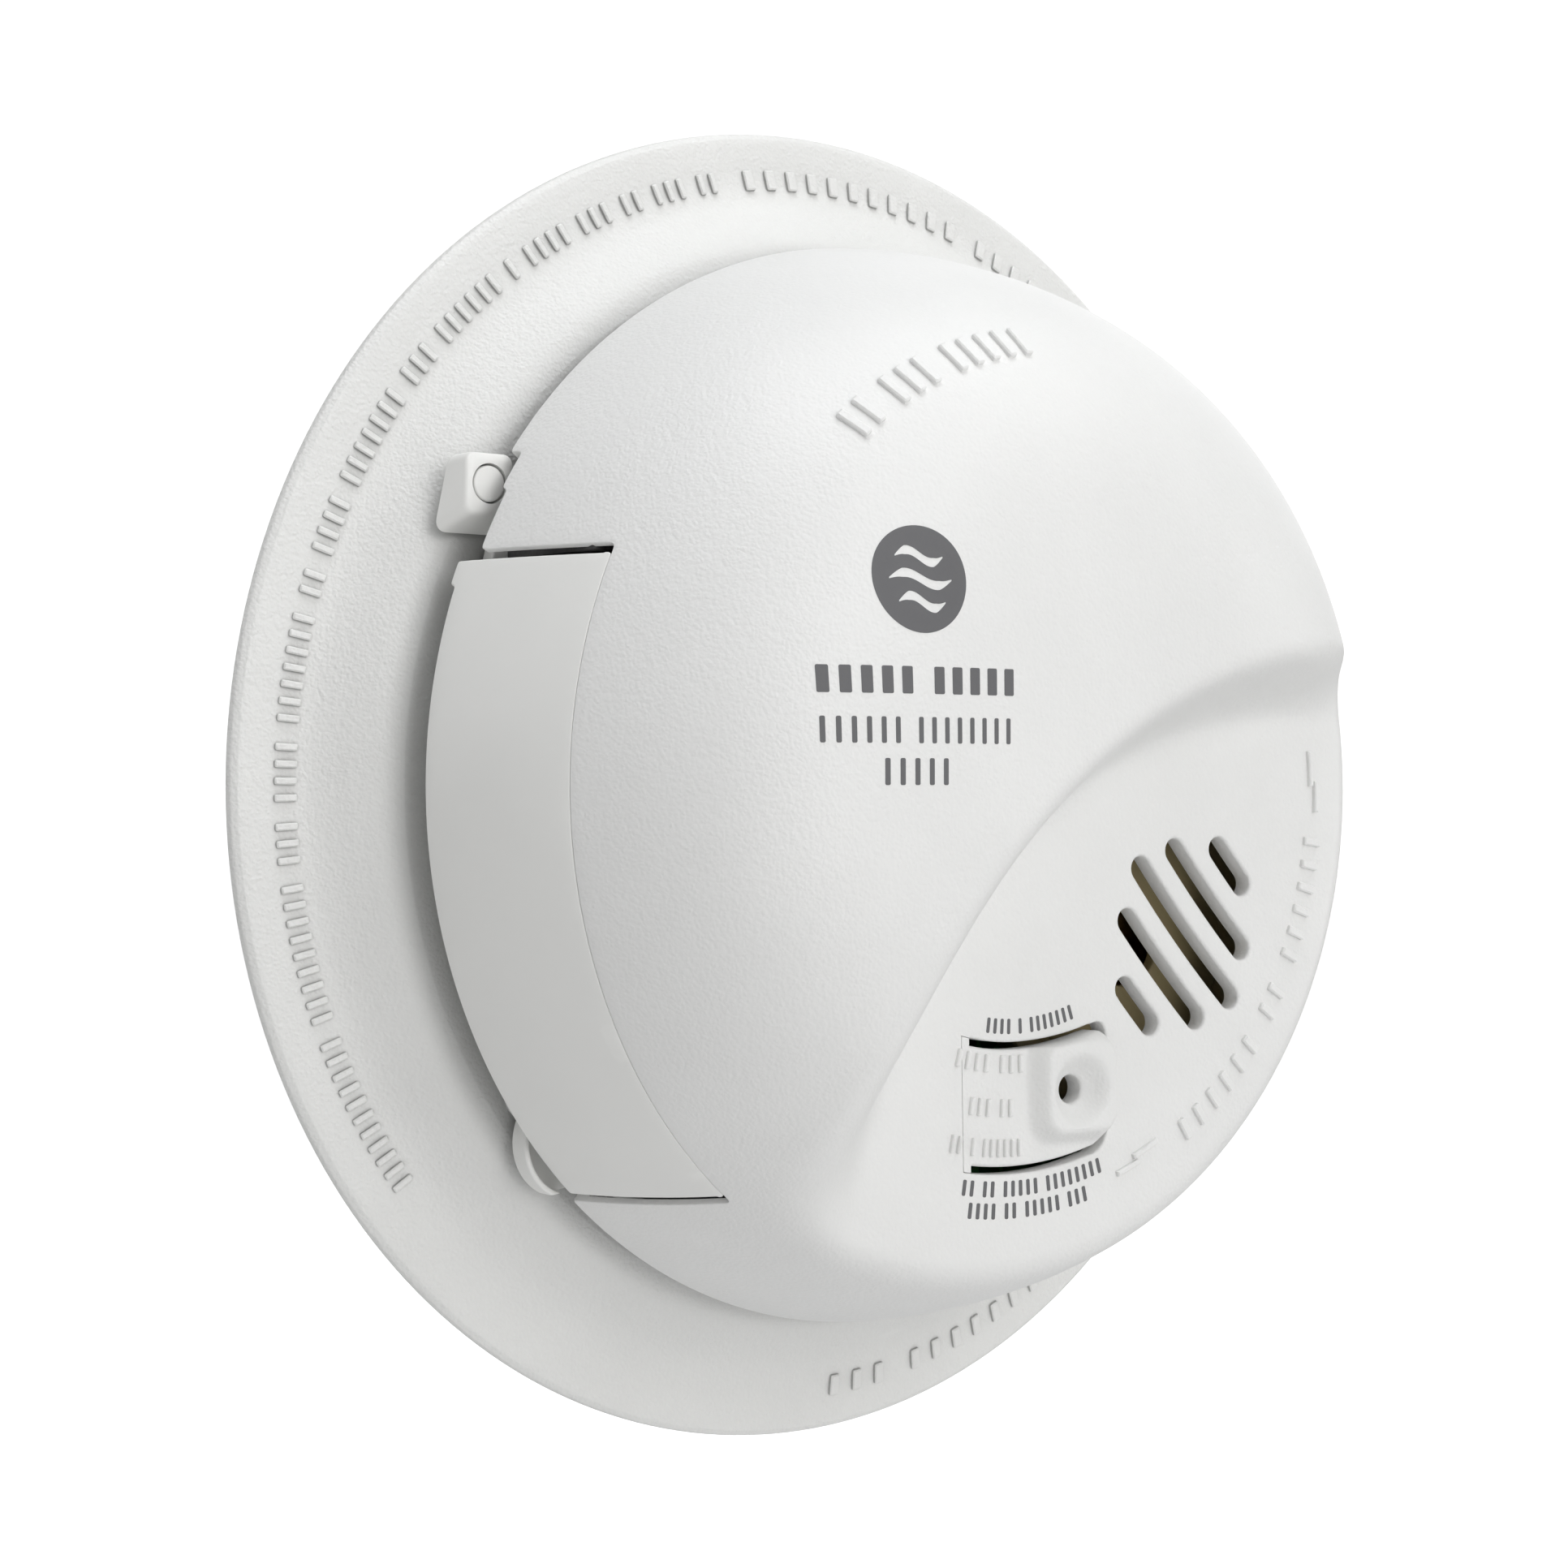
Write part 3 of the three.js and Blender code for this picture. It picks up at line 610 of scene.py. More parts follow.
# ---- the flange's surface ----
FLANGE_CURVE = curve_through([(56.0, 8.85), (58.2, 7.9), (60.0, 6.45), (61.8, 4.85), (63.6, 3.65), (65.6, 3.0),
                              (68.0, 2.75), (69.6, 2.55)], 8)
_flange = np.array(FLANGE_CURVE)


def on_flange(xy, height):
    xy = np.asarray(xy, float)
    r = np.hypot(xy[:, 0], xy[:, 1])
    before, z, after = (np.interp(r + d, _flange[:, 0], _flange[:, 1]) for d in (-0.1, 0, 0.1))
    slope = (after - before) / 0.2
    n = np.stack([-slope * xy[:, 0] / r, -slope * xy[:, 1] / r, np.ones(len(r))], axis=1)
    n /= np.linalg.norm(n, axis=1, keepdims=True)
    return np.concatenate([xy, z[:, None]], axis=1) + n * np.asarray(height, float).reshape(-1, 1)


# ---- materials ----
def add_node(tree, kind, inputs=None, **settings):
    made = tree.nodes.new(kind)
    for key, value in settings.items():
        setattr(made, key, value)
    for key, value in (inputs or {}).items():
        if isinstance(value, bpy.types.NodeSocket):
            tree.links.new(value, made.inputs[key])
        else:
            made.inputs[key].default_value = value
    return made


def new_material(name, **constants):
    material = bpy.data.materials.new(name)
    material.use_nodes = True
    tree = material.node_tree
    shader = tree.nodes["Principled BSDF"]
    for key, value in constants.items():
        shader.inputs[key.replace("_", " ")].default_value = value
    return material, tree, shader


def math_node(tree, operation, a, b=0.0, c=0.0):
    return add_node(tree, "ShaderNodeMath", {0: a, 1: b, 2: c}, operation=operation).outputs[0]


def ramp(tree, value, stops):
    made = add_node(tree, "ShaderNodeValToRGB", {0: value})
    elements = made.color_ramp.elements
    while len(elements) < len(stops):
        elements.new(0.5)
    for element, (place, shade) in zip(elements, stops):
        element.position = place
        element.color = (*shade, 1) if isinstance(shade, tuple) else (shade, shade, shade, 1)
    return made.outputs["Color"]


def mixed(tree, share, a, b):
    made = add_node(tree, "ShaderNodeMix", {"Factor": share}, data_type="RGBA")
    for key, value in ((6, a), (7, b)):
        if isinstance(value, bpy.types.NodeSocket):
            tree.links.new(value, made.inputs[key])
        else:
            made.inputs[key].default_value = (*value, 1)
    return made.outputs[2]


def noise(tree, where, feature, detail=2.0, roughness=0.5):
    """Noise with features of about this many millimetres."""
    return add_node(tree, "ShaderNodeTexNoise",
                    {"Vector": where, "Scale": 1 / (feature * MM), "Detail": detail, "Roughness": roughness})


def plastic(name, colour, roughness=0.5, grain=0.0, grain_size=0.55, specks=True, specular=0.5, painted_shade=0.0):
    """Moulded plastic: leathery grain, slight colour drift, worn edges, painted shade in corners, gaps and under
    overhangs, and a few dust specks.
    """
    material, tree, shader = new_material(name)
    shader.inputs["Specular IOR Level"].default_value = specular
    where = add_node(tree, "ShaderNodeTexCoord").outputs["Object"]
    drift = noise(tree, where, 18.0, 3.0).outputs["Fac"]
    darker = tuple(c * 0.965 for c in colour)
    shade = mixed(tree, ramp(tree, drift, [(0.35, 0.0), (0.7, 1.0)]), colour, darker)
    worn = ramp(tree, add_node(tree, "ShaderNodeNewGeometry").outputs["Pointiness"], [(0.52, 0.0), (0.62, 1.0)])
    patchy = math_node(tree, "MULTIPLY", worn, noise(tree, where, 2.5, 2.0).outputs["Fac"])
    shade = mixed(tree, patchy, shade, tuple(min(1.0, c * 1.02 + 0.005) for c in colour))
    # Painted shade: the colour darkens to a quarter of itself where ambient occlusion finds other surfaces close by,
    # in corners, gaps and under overhangs.
    if painted_shade > 0:
        open_sky = add_node(tree, "ShaderNodeAmbientOcclusion", {"Distance": 11 * MM}, samples=6).outputs["AO"]
        shade_share = ramp(tree, open_sky, [(0.25, painted_shade), (0.8, 0.0)])
        shade = mixed(tree, shade_share, shade, tuple(c * 0.25 for c in colour))
    if specks:
        dots = add_node(tree, "ShaderNodeTexVoronoi", {"Vector": where, "Scale": 1 / (7.5 * MM)})
        near = math_node(tree, "LESS_THAN", dots.outputs["Distance"], 0.016)
        some = math_node(tree, "GREATER_THAN", noise(tree, where, 11.0).outputs["Fac"], 0.55)
        speck = math_node(tree, "MULTIPLY", math_node(tree, "MULTIPLY", near, some), 0.55)
        shade = mixed(tree, speck, shade, (0.16, 0.15, 0.13))
    tree.links.new(shade, shader.inputs["Base Color"])
    fine = noise(tree, where, 0.3, 3.0, 0.6).outputs["Fac"]
    tree.links.new(ramp(tree, fine, [(0.3, max(roughness - 0.06, 0.02)), (0.7, min(roughness + 0.06, 1.0))]),
                   shader.inputs["Roughness"])
    if grain > 0:
        bent = add_node(tree, "ShaderNodeVectorMath", {0: where, 1: add_node(
            tree, "ShaderNodeVectorMath",
            {0: noise(tree, where, grain_size * 1.6, 2.0).outputs["Color"], "Scale": grain_size * 1.1 * MM},
            operation="SCALE").outputs[0]}, operation="ADD").outputs[0]
        cells = add_node(tree, "ShaderNodeTexVoronoi",
                         {"Vector": bent, "Scale": 1 / (grain_size * MM), "Smoothness": 0.6},
                         feature="SMOOTH_F1").outputs["Distance"]
        soft = noise(tree, where, grain_size * 2.2, 2.0).outputs["Fac"]
        height = math_node(tree, "ADD", math_node(tree, "MULTIPLY", cells, -0.9),
                           math_node(tree, "ADD", soft, math_node(tree, "MULTIPLY", fine, 0.35)))
        bump = add_node(tree, "ShaderNodeBump", {"Height": height, "Distance": grain * MM, "Strength": 1.0})
        tree.links.new(bump.outputs["Normal"], shader.inputs["Normal"])
    return material


def metal(name, colour, roughness):
    material, tree, shader = new_material(name, Metallic=1.0)
    where = add_node(tree, "ShaderNodeTexCoord").outputs["Object"]
    cloud = noise(tree, where, 3.0, 4.0).outputs["Fac"]
    fine = noise(tree, where, 0.15, 3.0).outputs["Fac"]
    dull = tuple(c * 0.8 for c in colour)
    tree.links.new(mixed(tree, ramp(tree, cloud, [(0.35, 0.0), (0.75, 1.0)]), colour, dull),
                   shader.inputs["Base Color"])
    tree.links.new(ramp(tree, cloud, [(0.3, roughness), (0.8, roughness + 0.18)]), shader.inputs["Roughness"])
    bump = add_node(tree, "ShaderNodeBump", {"Height": fine, "Distance": 0.004 * MM, "Strength": 0.6})
    tree.links.new(bump.outputs["Normal"], shader.inputs["Normal"])
    return material


def board_material():
    """Green solder mask over faint copper tracks."""
    material, tree, shader = new_material("board_green", Roughness=0.35, Coat_Weight=0.3)
    where = add_node(tree, "ShaderNodeTexCoord").outputs["Object"]
    tracks = add_node(tree, "ShaderNodeTexVoronoi", {"Vector": where, "Scale": 1 / (3.2 * MM), "Randomness": 0.6},
                      feature="DISTANCE_TO_EDGE")
    line = ramp(tree, tracks.outputs["Distance"], [(0.06, 1.0), (0.1, 0.0)])
    cloud = noise(tree, where, 9.0, 3.0).outputs["Fac"]
    mask = mixed(tree, ramp(tree, cloud, [(0.3, 0.0), (0.7, 1.0)]), (0.010, 0.10, 0.035), (0.014, 0.13, 0.05))
    tree.links.new(mixed(tree, line, mask, (0.035, 0.22, 0.07)), shader.inputs["Base Color"])
    bump = add_node(tree, "ShaderNodeBump", {"Height": line, "Distance": 0.03 * MM, "Strength": 0.5})
    tree.links.new(bump.outputs["Normal"], shader.inputs["Normal"])
    return material


def clear_material(name, colour, roughness=0.08):
    material, tree, shader = new_material(name, Transmission_Weight=0.85, IOR=1.49)
    where = add_node(tree, "ShaderNodeTexCoord").outputs["Object"]
    cloud = noise(tree, where, 1.5, 3.0).outputs["Fac"]
    tree.links.new(mixed(tree, cloud, colour, tuple(c * 0.85 for c in colour)), shader.inputs["Base Color"])
    tree.links.new(ramp(tree, cloud, [(0.3, roughness), (0.8, roughness + 0.15)]), shader.inputs["Roughness"])
    return material


LOOKS = {                              # a material, and the slot of the record that it fills
    "cover": (plastic("cover_white", (0.80, 0.80, 0.79), 0.5, grain=0.05, grain_size=0.4), "cover_plastic"),
    # the base's white carries painted shade in its corners, gaps and under the cover's edge
    "base": (plastic("base_white_with_painted_shade", (0.775, 0.775, 0.76), 0.5, grain=0.075, grain_size=0.38,
                     painted_shade=0.85), "base_plastic"),
    "smooth": (plastic("smooth_white", (0.82, 0.82, 0.80), 0.42, grain=0.008, grain_size=0.8), "smooth_plastic"),
    "bracket": (plastic("bracket_white", (0.74, 0.74, 0.71), 0.55, grain=0.02, grain_size=0.7), "bracket_plastic"),
    "black": (plastic("black_moulding", (0.018, 0.018, 0.018), 0.45, grain=0.02, specks=False), "black_plastic"),
    "horn": (plastic("horn_brown", (0.34, 0.28, 0.15), 0.5, grain=0.02, specks=False), "horn_plastic"),
    "ink": (plastic("grey_ink", (0.135, 0.135, 0.14), 0.6, grain=0.01, specks=False, specular=0.3), "cover_plastic"),
    "jacket": (plastic("battery_jacket", (0.045, 0.07, 0.10), 0.3, grain=0.006, specks=False), "battery_jacket"),
    "stripe": (plastic("jacket_stripe", (0.55, 0.42, 0.12), 0.3, grain=0.006, specks=False), "battery_jacket"),
    "film": (plastic("capacitor_yellow", (0.50, 0.32, 0.03), 0.35, grain=0.008, specks=False), "film_capacitor"),
    "sleeve": (plastic("capacitor_sleeve", (0.015, 0.03, 0.09), 0.3, grain=0.006, specks=False), "capacitor_sleeve"),
    "varistor": (plastic("varistor_blue", (0.02, 0.09, 0.32), 0.35, grain=0.02, specks=False), "varistor_coating"),
    "label": (plastic("label_film", (0.60, 0.60, 0.57), 0.4, grain=0.006, specks=False), "label"),
    "brass": (metal("brass", (0.66, 0.46, 0.19), 0.28), "brass"),
    "nickel": (metal("nickel_plate", (0.72, 0.71, 0.68), 0.22), "plated_metal"),
    "steel": (metal("zinc_steel", (0.56, 0.57, 0.58), 0.3), "steel"),
    "board": (board_material(), "circuit_board"),
    "clear": (clear_material("clear_acrylic", (0.85, 0.92, 0.90)), "clear_plastic"),
    "lens": (clear_material("red_lens", (0.62, 0.03, 0.02)), "led_lens"),
}


# ---- the cover ----
def radius_at(z):
    """Radius of the dome of revolution at height z."""
    return np.interp(-np.asarray(z, float), -_table_z[:-1], _table_r[:-1])


def at_side(angle, z):
    """A point of the unrolled plane, from its angle and its height on the dome's side."""
    r = radius_at(z)
    return unrolled(r * np.cos(angle), r * np.sin(angle))


def level_cut(y, z):
    """Angle on the left side where the dome at height z has this y."""
    return math.pi - np.arcsin(y / radius_at(z))


PIN_REACH = math.hypot(PIN[0], PIN[1])
PIN_ANGLE = math.atan2(PIN[1], PIN[0])


def swing_cut(swing_r, z):
    """Angle where the dome at height z is swing_r from the hinge pin."""
    r = radius_at(z)
    return PIN_ANGLE + np.arccos((r ** 2 + PIN_REACH ** 2 - swing_r ** 2) / (2 * r * PIN_REACH))


def side_path(angle_of, z0, z1, steps=60):
    """The path on the dome's side along angle_of(z), between two heights."""
    z = np.linspace(z0, z1, steps)
    return [tuple(p) for p in at_side(angle_of(z), z)]


def level_path(a0, a1, z, steps=160):
    a = np.linspace(a0, a1, steps)
    return [tuple(p) for p in at_side(a, np.full(steps, z))]


EDGE_TOP_ANGLE = level_cut(NOTCH_TOP_Y, COVER_EDGE)
OPENING_LOW_ANGLE = swing_cut(OPENING_SWING_R, COVER_EDGE)


def cover_outline():
    shallow, deep = NOTCH_Z
    notch = [level_cut(y, z) for y, z in ((NOTCH_TOP_Y, shallow), (NOTCH_STEP_Y, shallow), (NOTCH_STEP_Y, deep),
                                          (OPENING_TOP_Y, deep))]
    face_z = DRAWER_FACE_Z + PARTING + 0.05
    face_a, face_b = level_cut(OPENING_TOP_Y, face_z), swing_cut(OPENING_SWING_R, face_z)
    edge = level_path(OPENING_LOW_ANGLE - 2 * math.pi, EDGE_TOP_ANGLE, COVER_EDGE, 900)
    loop = (edge
            + side_path(lambda z: level_cut(NOTCH_TOP_Y, z), COVER_EDGE, shallow)
            + level_path(notch[0], notch[1], shallow, 30)
            + side_path(lambda z: level_cut(NOTCH_STEP_Y, z), shallow, deep, 8)
            + level_path(notch[2], notch[3], deep, 40)
            + side_path(lambda z: level_cut(OPENING_TOP_Y, z), deep, face_z)
            + level_path(face_a, face_b, face_z)
            + side_path(lambda z: swing_cut(OPENING_SWING_R, z), face_z, COVER_EDGE))
    return softened(resampled(distinct(loop), 0.3), 5)


def arc_angle(r, x):
    """Angle of the point at x on the lower half of a circle of radius r about the middle."""
    return math.degrees(math.asin(x / r)) - 90


def flattened(points):
    """The window's upper edge sags a little below its arc towards the right."""
    return [(x, y - 0.9 * min(max(x, 0) / WINDOW_RIGHT_X, 1) ** 2) for x, y in points]


def window_loop():
    """Outline of the button's window, between two arcs about the middle."""
    high, low = WINDOW_R
    right, left = WINDOW_RIGHT_X, TAB_ROOT_X
    top = flattened(arc(0, 0, high, arc_angle(high, right), arc_angle(high, left), 60))
    bottom = arc(0, 0, low, arc_angle(low, left), arc_angle(low, right), 60)
    return distinct(round_corners(top + bottom, 2.3, right))


def round_corners(loop, radius, right):
    """Rounds the two corners that a loop has at x = right."""
    points = [np.array(p, float) for p in loop]
    out = []
    n = len(points)
    corner = [i for i, p in enumerate(points) if abs(p[0] - right) < 1e-6]
    for i, p in enumerate(points):
        near = [c for c in corner if np.linalg.norm(points[c] - p) < radius]
        if not near:
            out.append(tuple(p))
            continue
        if i not in corner:
            continue
        before, after = points[(i - 1) % n], points[(i + 1) % n]
        a = (before - p) / np.linalg.norm(before - p)
        b = (after - p) / np.linalg.norm(after - p)
        for k in range(9):
            t = k / 8
            out.append(tuple((1 - t) ** 2 * (p + a * radius) + 2 * t * (1 - t) * p + t * t * (p + b * radius)))
    return out


def vent_loops():
    """The sound slots lie on arcs about one far point, each a little further along than the last."""
    aim = math.radians(VENT["aim"])
    qx, qy = VENT["x"] + VENT["bow"] * math.cos(aim), VENT["y"] + VENT["bow"] * math.sin(aim)
    loops = []
    for step, length in zip((-2, -1, 0, 1, 2), VENT_LENGTHS):
        r = VENT["bow"] - step * VENT["pitch"]
        middle = VENT["aim"] + 180 - math.degrees(step * VENT["drift"] / r)
        half = math.degrees((length - VENT["width"]) / 2 / r)
        ends = [(qx + r * math.cos(math.radians(a)), qy + r * math.sin(math.radians(a)))
                for a in (middle - half, middle + half)]
        w = VENT["width"] / 2
        loops.append(distinct(arc(qx, qy, r + w, middle - half, middle + half, 12)
                              + arc(*ends[1], w, middle + half, middle + half + 180, 12)
                              + arc(qx, qy, r - w, middle + half, middle - half, 12)
                              + arc(*ends[0], w, middle - half + 180, middle - half + 360, 12)))
    return loops


def unrolled_hole(loop, step=0.3):
    p = resampled(distinct(loop), step)
    return np.asarray(clockwise(unrolled(p[:, 0], p[:, 1])))


def cover_legs():
    legs = []
    for angle in (5, 65, -55):
        legs.append(prism(ring_sector(53, 55.2, angle - 5, angle + 5), FLOOR_TOP + GAP, 20, 0.2))
    return legs


def cover_lip(p):
    """Radius of the cover's rounded lips: thin beside the drawer, and none at the button's root."""
    lip = np.full(len(p), 0.4)
    lip[(p[:, 0] < -10) & (p[:, 2] > COVER_EDGE + 0.4) & (p[:, 2] < DRAWER_FACE_Z - 0.3)] = 0.15
    lip[(p[:, 0] < -10) & (p[:, 2] >= DRAWER_FACE_Z - 0.3) & (p[:, 2] < DRAWER_FACE_Z + 2)] = 0.05
    window = (p[:, 1] < -22) & (p[:, 1] > -42) & (np.abs(p[:, 0]) < 14)
    lip[window] = 0.3
    lip[window & (p[:, 0] < SLOT_END_X + 0.05)] = 0.015
    return lip


def cover_wall(p):
    """Thickness of the cover's wall: thin along the edges that the drawer's two ends close to."""
    above = p[:, 1] - OPENING_TOP_Y
    below = np.hypot(p[:, 0] - PIN[0], p[:, 1] - PIN[1]) - OPENING_SWING_R
    beside = np.where(p[:, 1] > 0, above, below)
    share = np.clip((beside - THIN_BAND) / THIN_BAND, 0, 1)
    near = (p[:, 0] < -20) & (p[:, 2] > NOTCH_Z[0]) & (beside > -0.6)
    return np.where(near, THIN_WALL + (SHELL - THIN_WALL) * share, SHELL)


def make_cover():
    holes = [unrolled_hole(loop) for loop in vent_loops()]
    holes.append(unrolled_hole(window_loop(), 0.2))
    body = shell([cover_outline(), *holes], 0.9, cover_wall, cover_lip)
    publish("cover_shell", joined(body, *cover_legs()), "cover", "alarm", "front_cover")


# ---- the test button ----
def pad_height(points):
    """Extra height of the button's cushion, with its dished middle."""
    qx = np.abs(points[:, 0] - PAD["x"]) - PAD["half_w"] + PAD["corner"]
    qy = np.abs(points[:, 1] - PAD["y"]) - PAD["half_h"] + PAD["corner"]
    outside = np.hypot(np.maximum(qx, 0), np.maximum(qy, 0)) + np.minimum(np.maximum(qx, qy), 0)
    rise = np.clip((PAD["corner"] - outside) / PAD["slope"], 0, 1)
    rise = rise * rise * (3 - 2 * rise)
    near = np.hypot(points[:, 0] - DIMPLE["x"], points[:, 1] - DIMPLE["y"])
    dish = np.clip((DIMPLE["r"] - near) / (DIMPLE["r"] - DIMPLE["hole"]), 0, 1)
    dish = dish * dish * (3 - 2 * dish)
    return PAD["crown"] * rise - DIMPLE["deep"] * dish


def button_loop():
    """The button fills its window, but for the slots above, below and to the right of it."""
    hair = 0.07
    high, low = WINDOW_R[0] + SLOT_WIDTH, WINDOW_R[1] - SLOT_WIDTH
    right, root = WINDOW_RIGHT_X - SLOT_RIGHT, TAB_ROOT_X + hair
    root_r = (WINDOW_R[0] + hair, WINDOW_R[1] - hair)
    top = flattened(arc(0, 0, high, arc_angle(high, right), arc_angle(high, SLOT_END_X), 60))
    root_high = arc(0, 0, root_r[0], arc_angle(root_r[0], SLOT_END_X), arc_angle(root_r[0], root), 4)
    root_low = arc(0, 0, root_r[1], arc_angle(root_r[1], root), arc_angle(root_r[1], SLOT_END_X), 4)
    bottom = arc(0, 0, low, arc_angle(low, SLOT_END_X), arc_angle(low, right), 60)
    return distinct(round_corners(distinct(top + root_high + root_low + bottom), 2.0, right))


def button_lip(p):
    return np.where(p[:, 0] < SLOT_END_X + 0.05, 0.02, 0.45)


def button_wall(p):
    """Thickness of the button's wall: thin at its root, where it bends."""
    return 0.35 + 1.65 * np.clip((p[:, 0] - TAB_ROOT_X - 0.5) / 3.0, 0, 1)


def make_button():
    outline = resampled(button_loop(), 0.2)
    hole = unrolled_hole(arc(DIMPLE["x"], DIMPLE["y"], DIMPLE["hole"], 0, 360, 40)[:-1], 0.22)
    body = shell([unrolled(outline[:, 0], outline[:, 1]), hole], 0.35, button_wall, button_lip, pad_height)
    stem_foot = node_box("switch_plunger")[1][2] + GAP
    stem = prism(rounded_rect(*KEY, 3, 3, 0.4), stem_foot, 32.6, 0.2)
    publish("button_tab", joined(body, stem), "cover", "button", "test_button")


# ---- raised and printed marks, in place of lettering ----
def bar(r0, r1, angle, width, corner=0.14):
    """An upright bar between two radii, at an angle about the middle."""
    loop = rounded_rect((r0 + r1) / 2, 0, abs(r1 - r0), width, min(corner, width * 0.45), 2)
    a = math.radians(angle)
    return [(x * math.cos(a) - y * math.sin(a), x * math.sin(a) + y * math.cos(a)) for x, y in loop]


def upright(x, y0, y1, width, corner=0.14):
    return rounded_rect(x, (y0 + y1) / 2, width, y1 - y0, min(corner, width * 0.45), 2)


def row_places(words):
    """Places of a row of plain marks, in letter widths from its start, and the row's length."""
    places, at = [], 0.0
    for count in words:
        places += [at + k + 0.5 for k in range(count)]
        at += count + 0.7
    return places, at - 0.7


def arc_row(words, r0, r1, a0, a1, fill):
    """Loops of a row of marks between two radii, from angle a0 to a1. fill is their share of a letter's width."""
    places, length = row_places(words)
    width = abs(a1 - a0) * math.pi / 180 * (r0 + r1) / 2 / length * fill
    return [bar(r0, r1, a0 + (a1 - a0) * p / length, width) for p in places]


def flat_row(words, x0, x1, y0, y1, fill):
    places, length = row_places(words)
    return [upright(x0 + (x1 - x0) * p / length, y0, y1, (x1 - x0) / length * fill) for p in places]


def arrow(r, a0, a1, side):
    """A plain line along an arc that steps off to one side at its middle."""
    mid, half = (a0 + a1) / 2, 0.28
    loops = []
    for radius, a, b in ((r, a0, mid), (r + 0.75 * side, mid - (a1 - a0) * 0.08, a1)):
        low, high = sorted((a, b))
        loops.append(arc(0, 0, radius + half, low, high, 6) + arc(0, 0, radius - half, high, low, 6))
    return loops


RIM_WORDS = (2, 3, 2, 3, 4, 1, 6, 3, 7, 4, 2, 7, 4, 3, 9, 11)


def make_marks():
    rim = arc_row(RIM_WORDS, 64.6, 66.8, 102.6, 217.0, 0.42)
    rim += arc_row((11, 12), 64.6, 66.8, 100.3, 40.0, 0.42)
    rim += arc_row((3, 11), 64.9, 67.2, -90.0, -49.0, 0.36)
    publish("rim_marks", joined(*[stamp([loop], on_flange, 0.4, 0.3, 0.14) for loop in rim]), "base", "alarm")
    cover = arc_row((2, 3, 5), 42.1, 44.8, 131.5, 98.0, 0.42)
    cover += arc_row((6, 2, 6), 44.0, 41.6, -59.7, -6.7, 0.34)
    cover += arrow(42.3, -72.1, -63.4, -1) + arrow(43.1, -4.0, 5.0, -1)
    tab = []
    for words, foot, head, a0, a1 in (((4, 3), 29.0, 27.2, -107.0, -88.2), ((4, 2), 33.4, 31.6, -103.7, -91.0),
                                      ((4, 6), 37.4, 35.6, -104.4, -89.4)):
        tab += arc_row(words, foot, head, a0, a1, 0.4)
    cover += [loop for loop in tab if max(p[0] for p in loop) < TAB_ROOT_X]
    publish("cover_marks", joined(*[stamp([loop], on_cover, 0.5, 0.3, 0.14) for loop in cover]), "cover", "alarm")
    moving = [loop for loop in tab if min(p[0] for p in loop) > TAB_ROOT_X]
    publish("button_marks", joined(*[stamp([loop], on_cover, 0.4, 0.3, 0.1) for loop in moving]), "cover", "button")


def wave_loop(x, y, length, thick, rise, steps=24):
    """A wavy band with round ends, for the emblem."""
    upper, lower = [], []
    for k in range(steps + 1):
        t = k / steps
        px = x - length / 2 + length * t
        py = y + rise * math.sin(2 * math.pi * t)
        taper = thick / 2 * min(1.0, 4 * t + 0.15, 4 * (1 - t) + 0.15)
        upper.append((px, py + taper))
        lower.append((px, py - taper))
    return lower + upper[::-1]


def make_prints():
    x, y, r = -24.9, 18.8, 4.95
    emblem = stamp([arc(x, y, r, 0, 360, 72)[:-1]] + [wave_loop(x, y + d, w, 0.85, 0.55) for d, w in
                                                     ((2.1, 5.0), (0.0, 6.6), (-2.1, 5.0))],
                   on_cover, 0.03, 0.2, spacing=0.6)
    rows = flat_row((5, 5), -36.3, -14.0, 8.3, 10.8, 0.55)
    rows += flat_row((6, 8), -36.2, -14.4, 3.8, 6.2, 0.34)
    rows += flat_row((5,), -30.0, -21.9, 0.0, 2.45, 0.34)
    rows += arc_row((4, 1, 7), 25.1, 23.55, -99.8, -72.0, 0.45)
    rows += arc_row((2, 2, 5, 8), 41.4, 39.8, -100.8, -74.2, 0.45)
    rows += arc_row((4, 2, 5, 3), 43.6, 42.0, -99.3, -77.7, 0.45)
    marks = [stamp([loop], on_cover, 0.03, 0.2) for loop in rows]
    publish("printed_marks", joined(emblem, *marks), "ink", "alarm")


# ---- the base ----
def rod(x, y, r, z0, z1, sectors=48, edge=0.0):
    """A round post with rounded rims."""
    return spun([(0, z0), (r, z0), (r, z1), (0, z1)], [0, edge, edge, 0], 3, sectors, x, y)


def tube(x, y, r, bore, z0, z1, edge=0.1, sectors=48):
    return lathe(filleted([(bore, z0), (r, z0), (r, z1), (bore, z1)], edge), sectors, x, y)


def block(x0, x1, y0, y1, z0, z1, edge=0.2, corner=None):
    corner = edge if corner is None else corner
    return prism(rounded_rect((x0 + x1) / 2, (y0 + y1) / 2, x1 - x0, y1 - y0, corner), z0, z1, edge)


def base_profile():
    back = filleted([(0, FLOOR_BACK), (POCKET_R, FLOOR_BACK), (POCKET_R, 1.2), (53.6, 1.2), (53.6, FLOOR_BACK)],
                    [0, 0.6, 0.3, 0.3, 0.4], 3, closed=False)
    under = curve_through([(53.9, FLOOR_BACK), (56.4, 6.9), (58.6, 5.5), (60.6, 3.6), (62.6, 2.1), (65.2, 1.4),
                           (68.9, 1.2)], 6)
    rim = filleted([(69.1, 1.15), (69.4, RIM_BACK), (70.6, RIM_BACK), (RIM_R, 1.25), (70.85, 1.95), (70.3, 2.4),
                    (69.9, 2.5)], [0.1, 0.2, 0.4, 0.5, 0.5, 0.4, 0], 3, closed=False)
    top = list(reversed(FLANGE_CURVE))
    return back + under + rim + top + [(SPIGOT_R + 0.5, FLOOR_TOP), (0, FLOOR_TOP)]


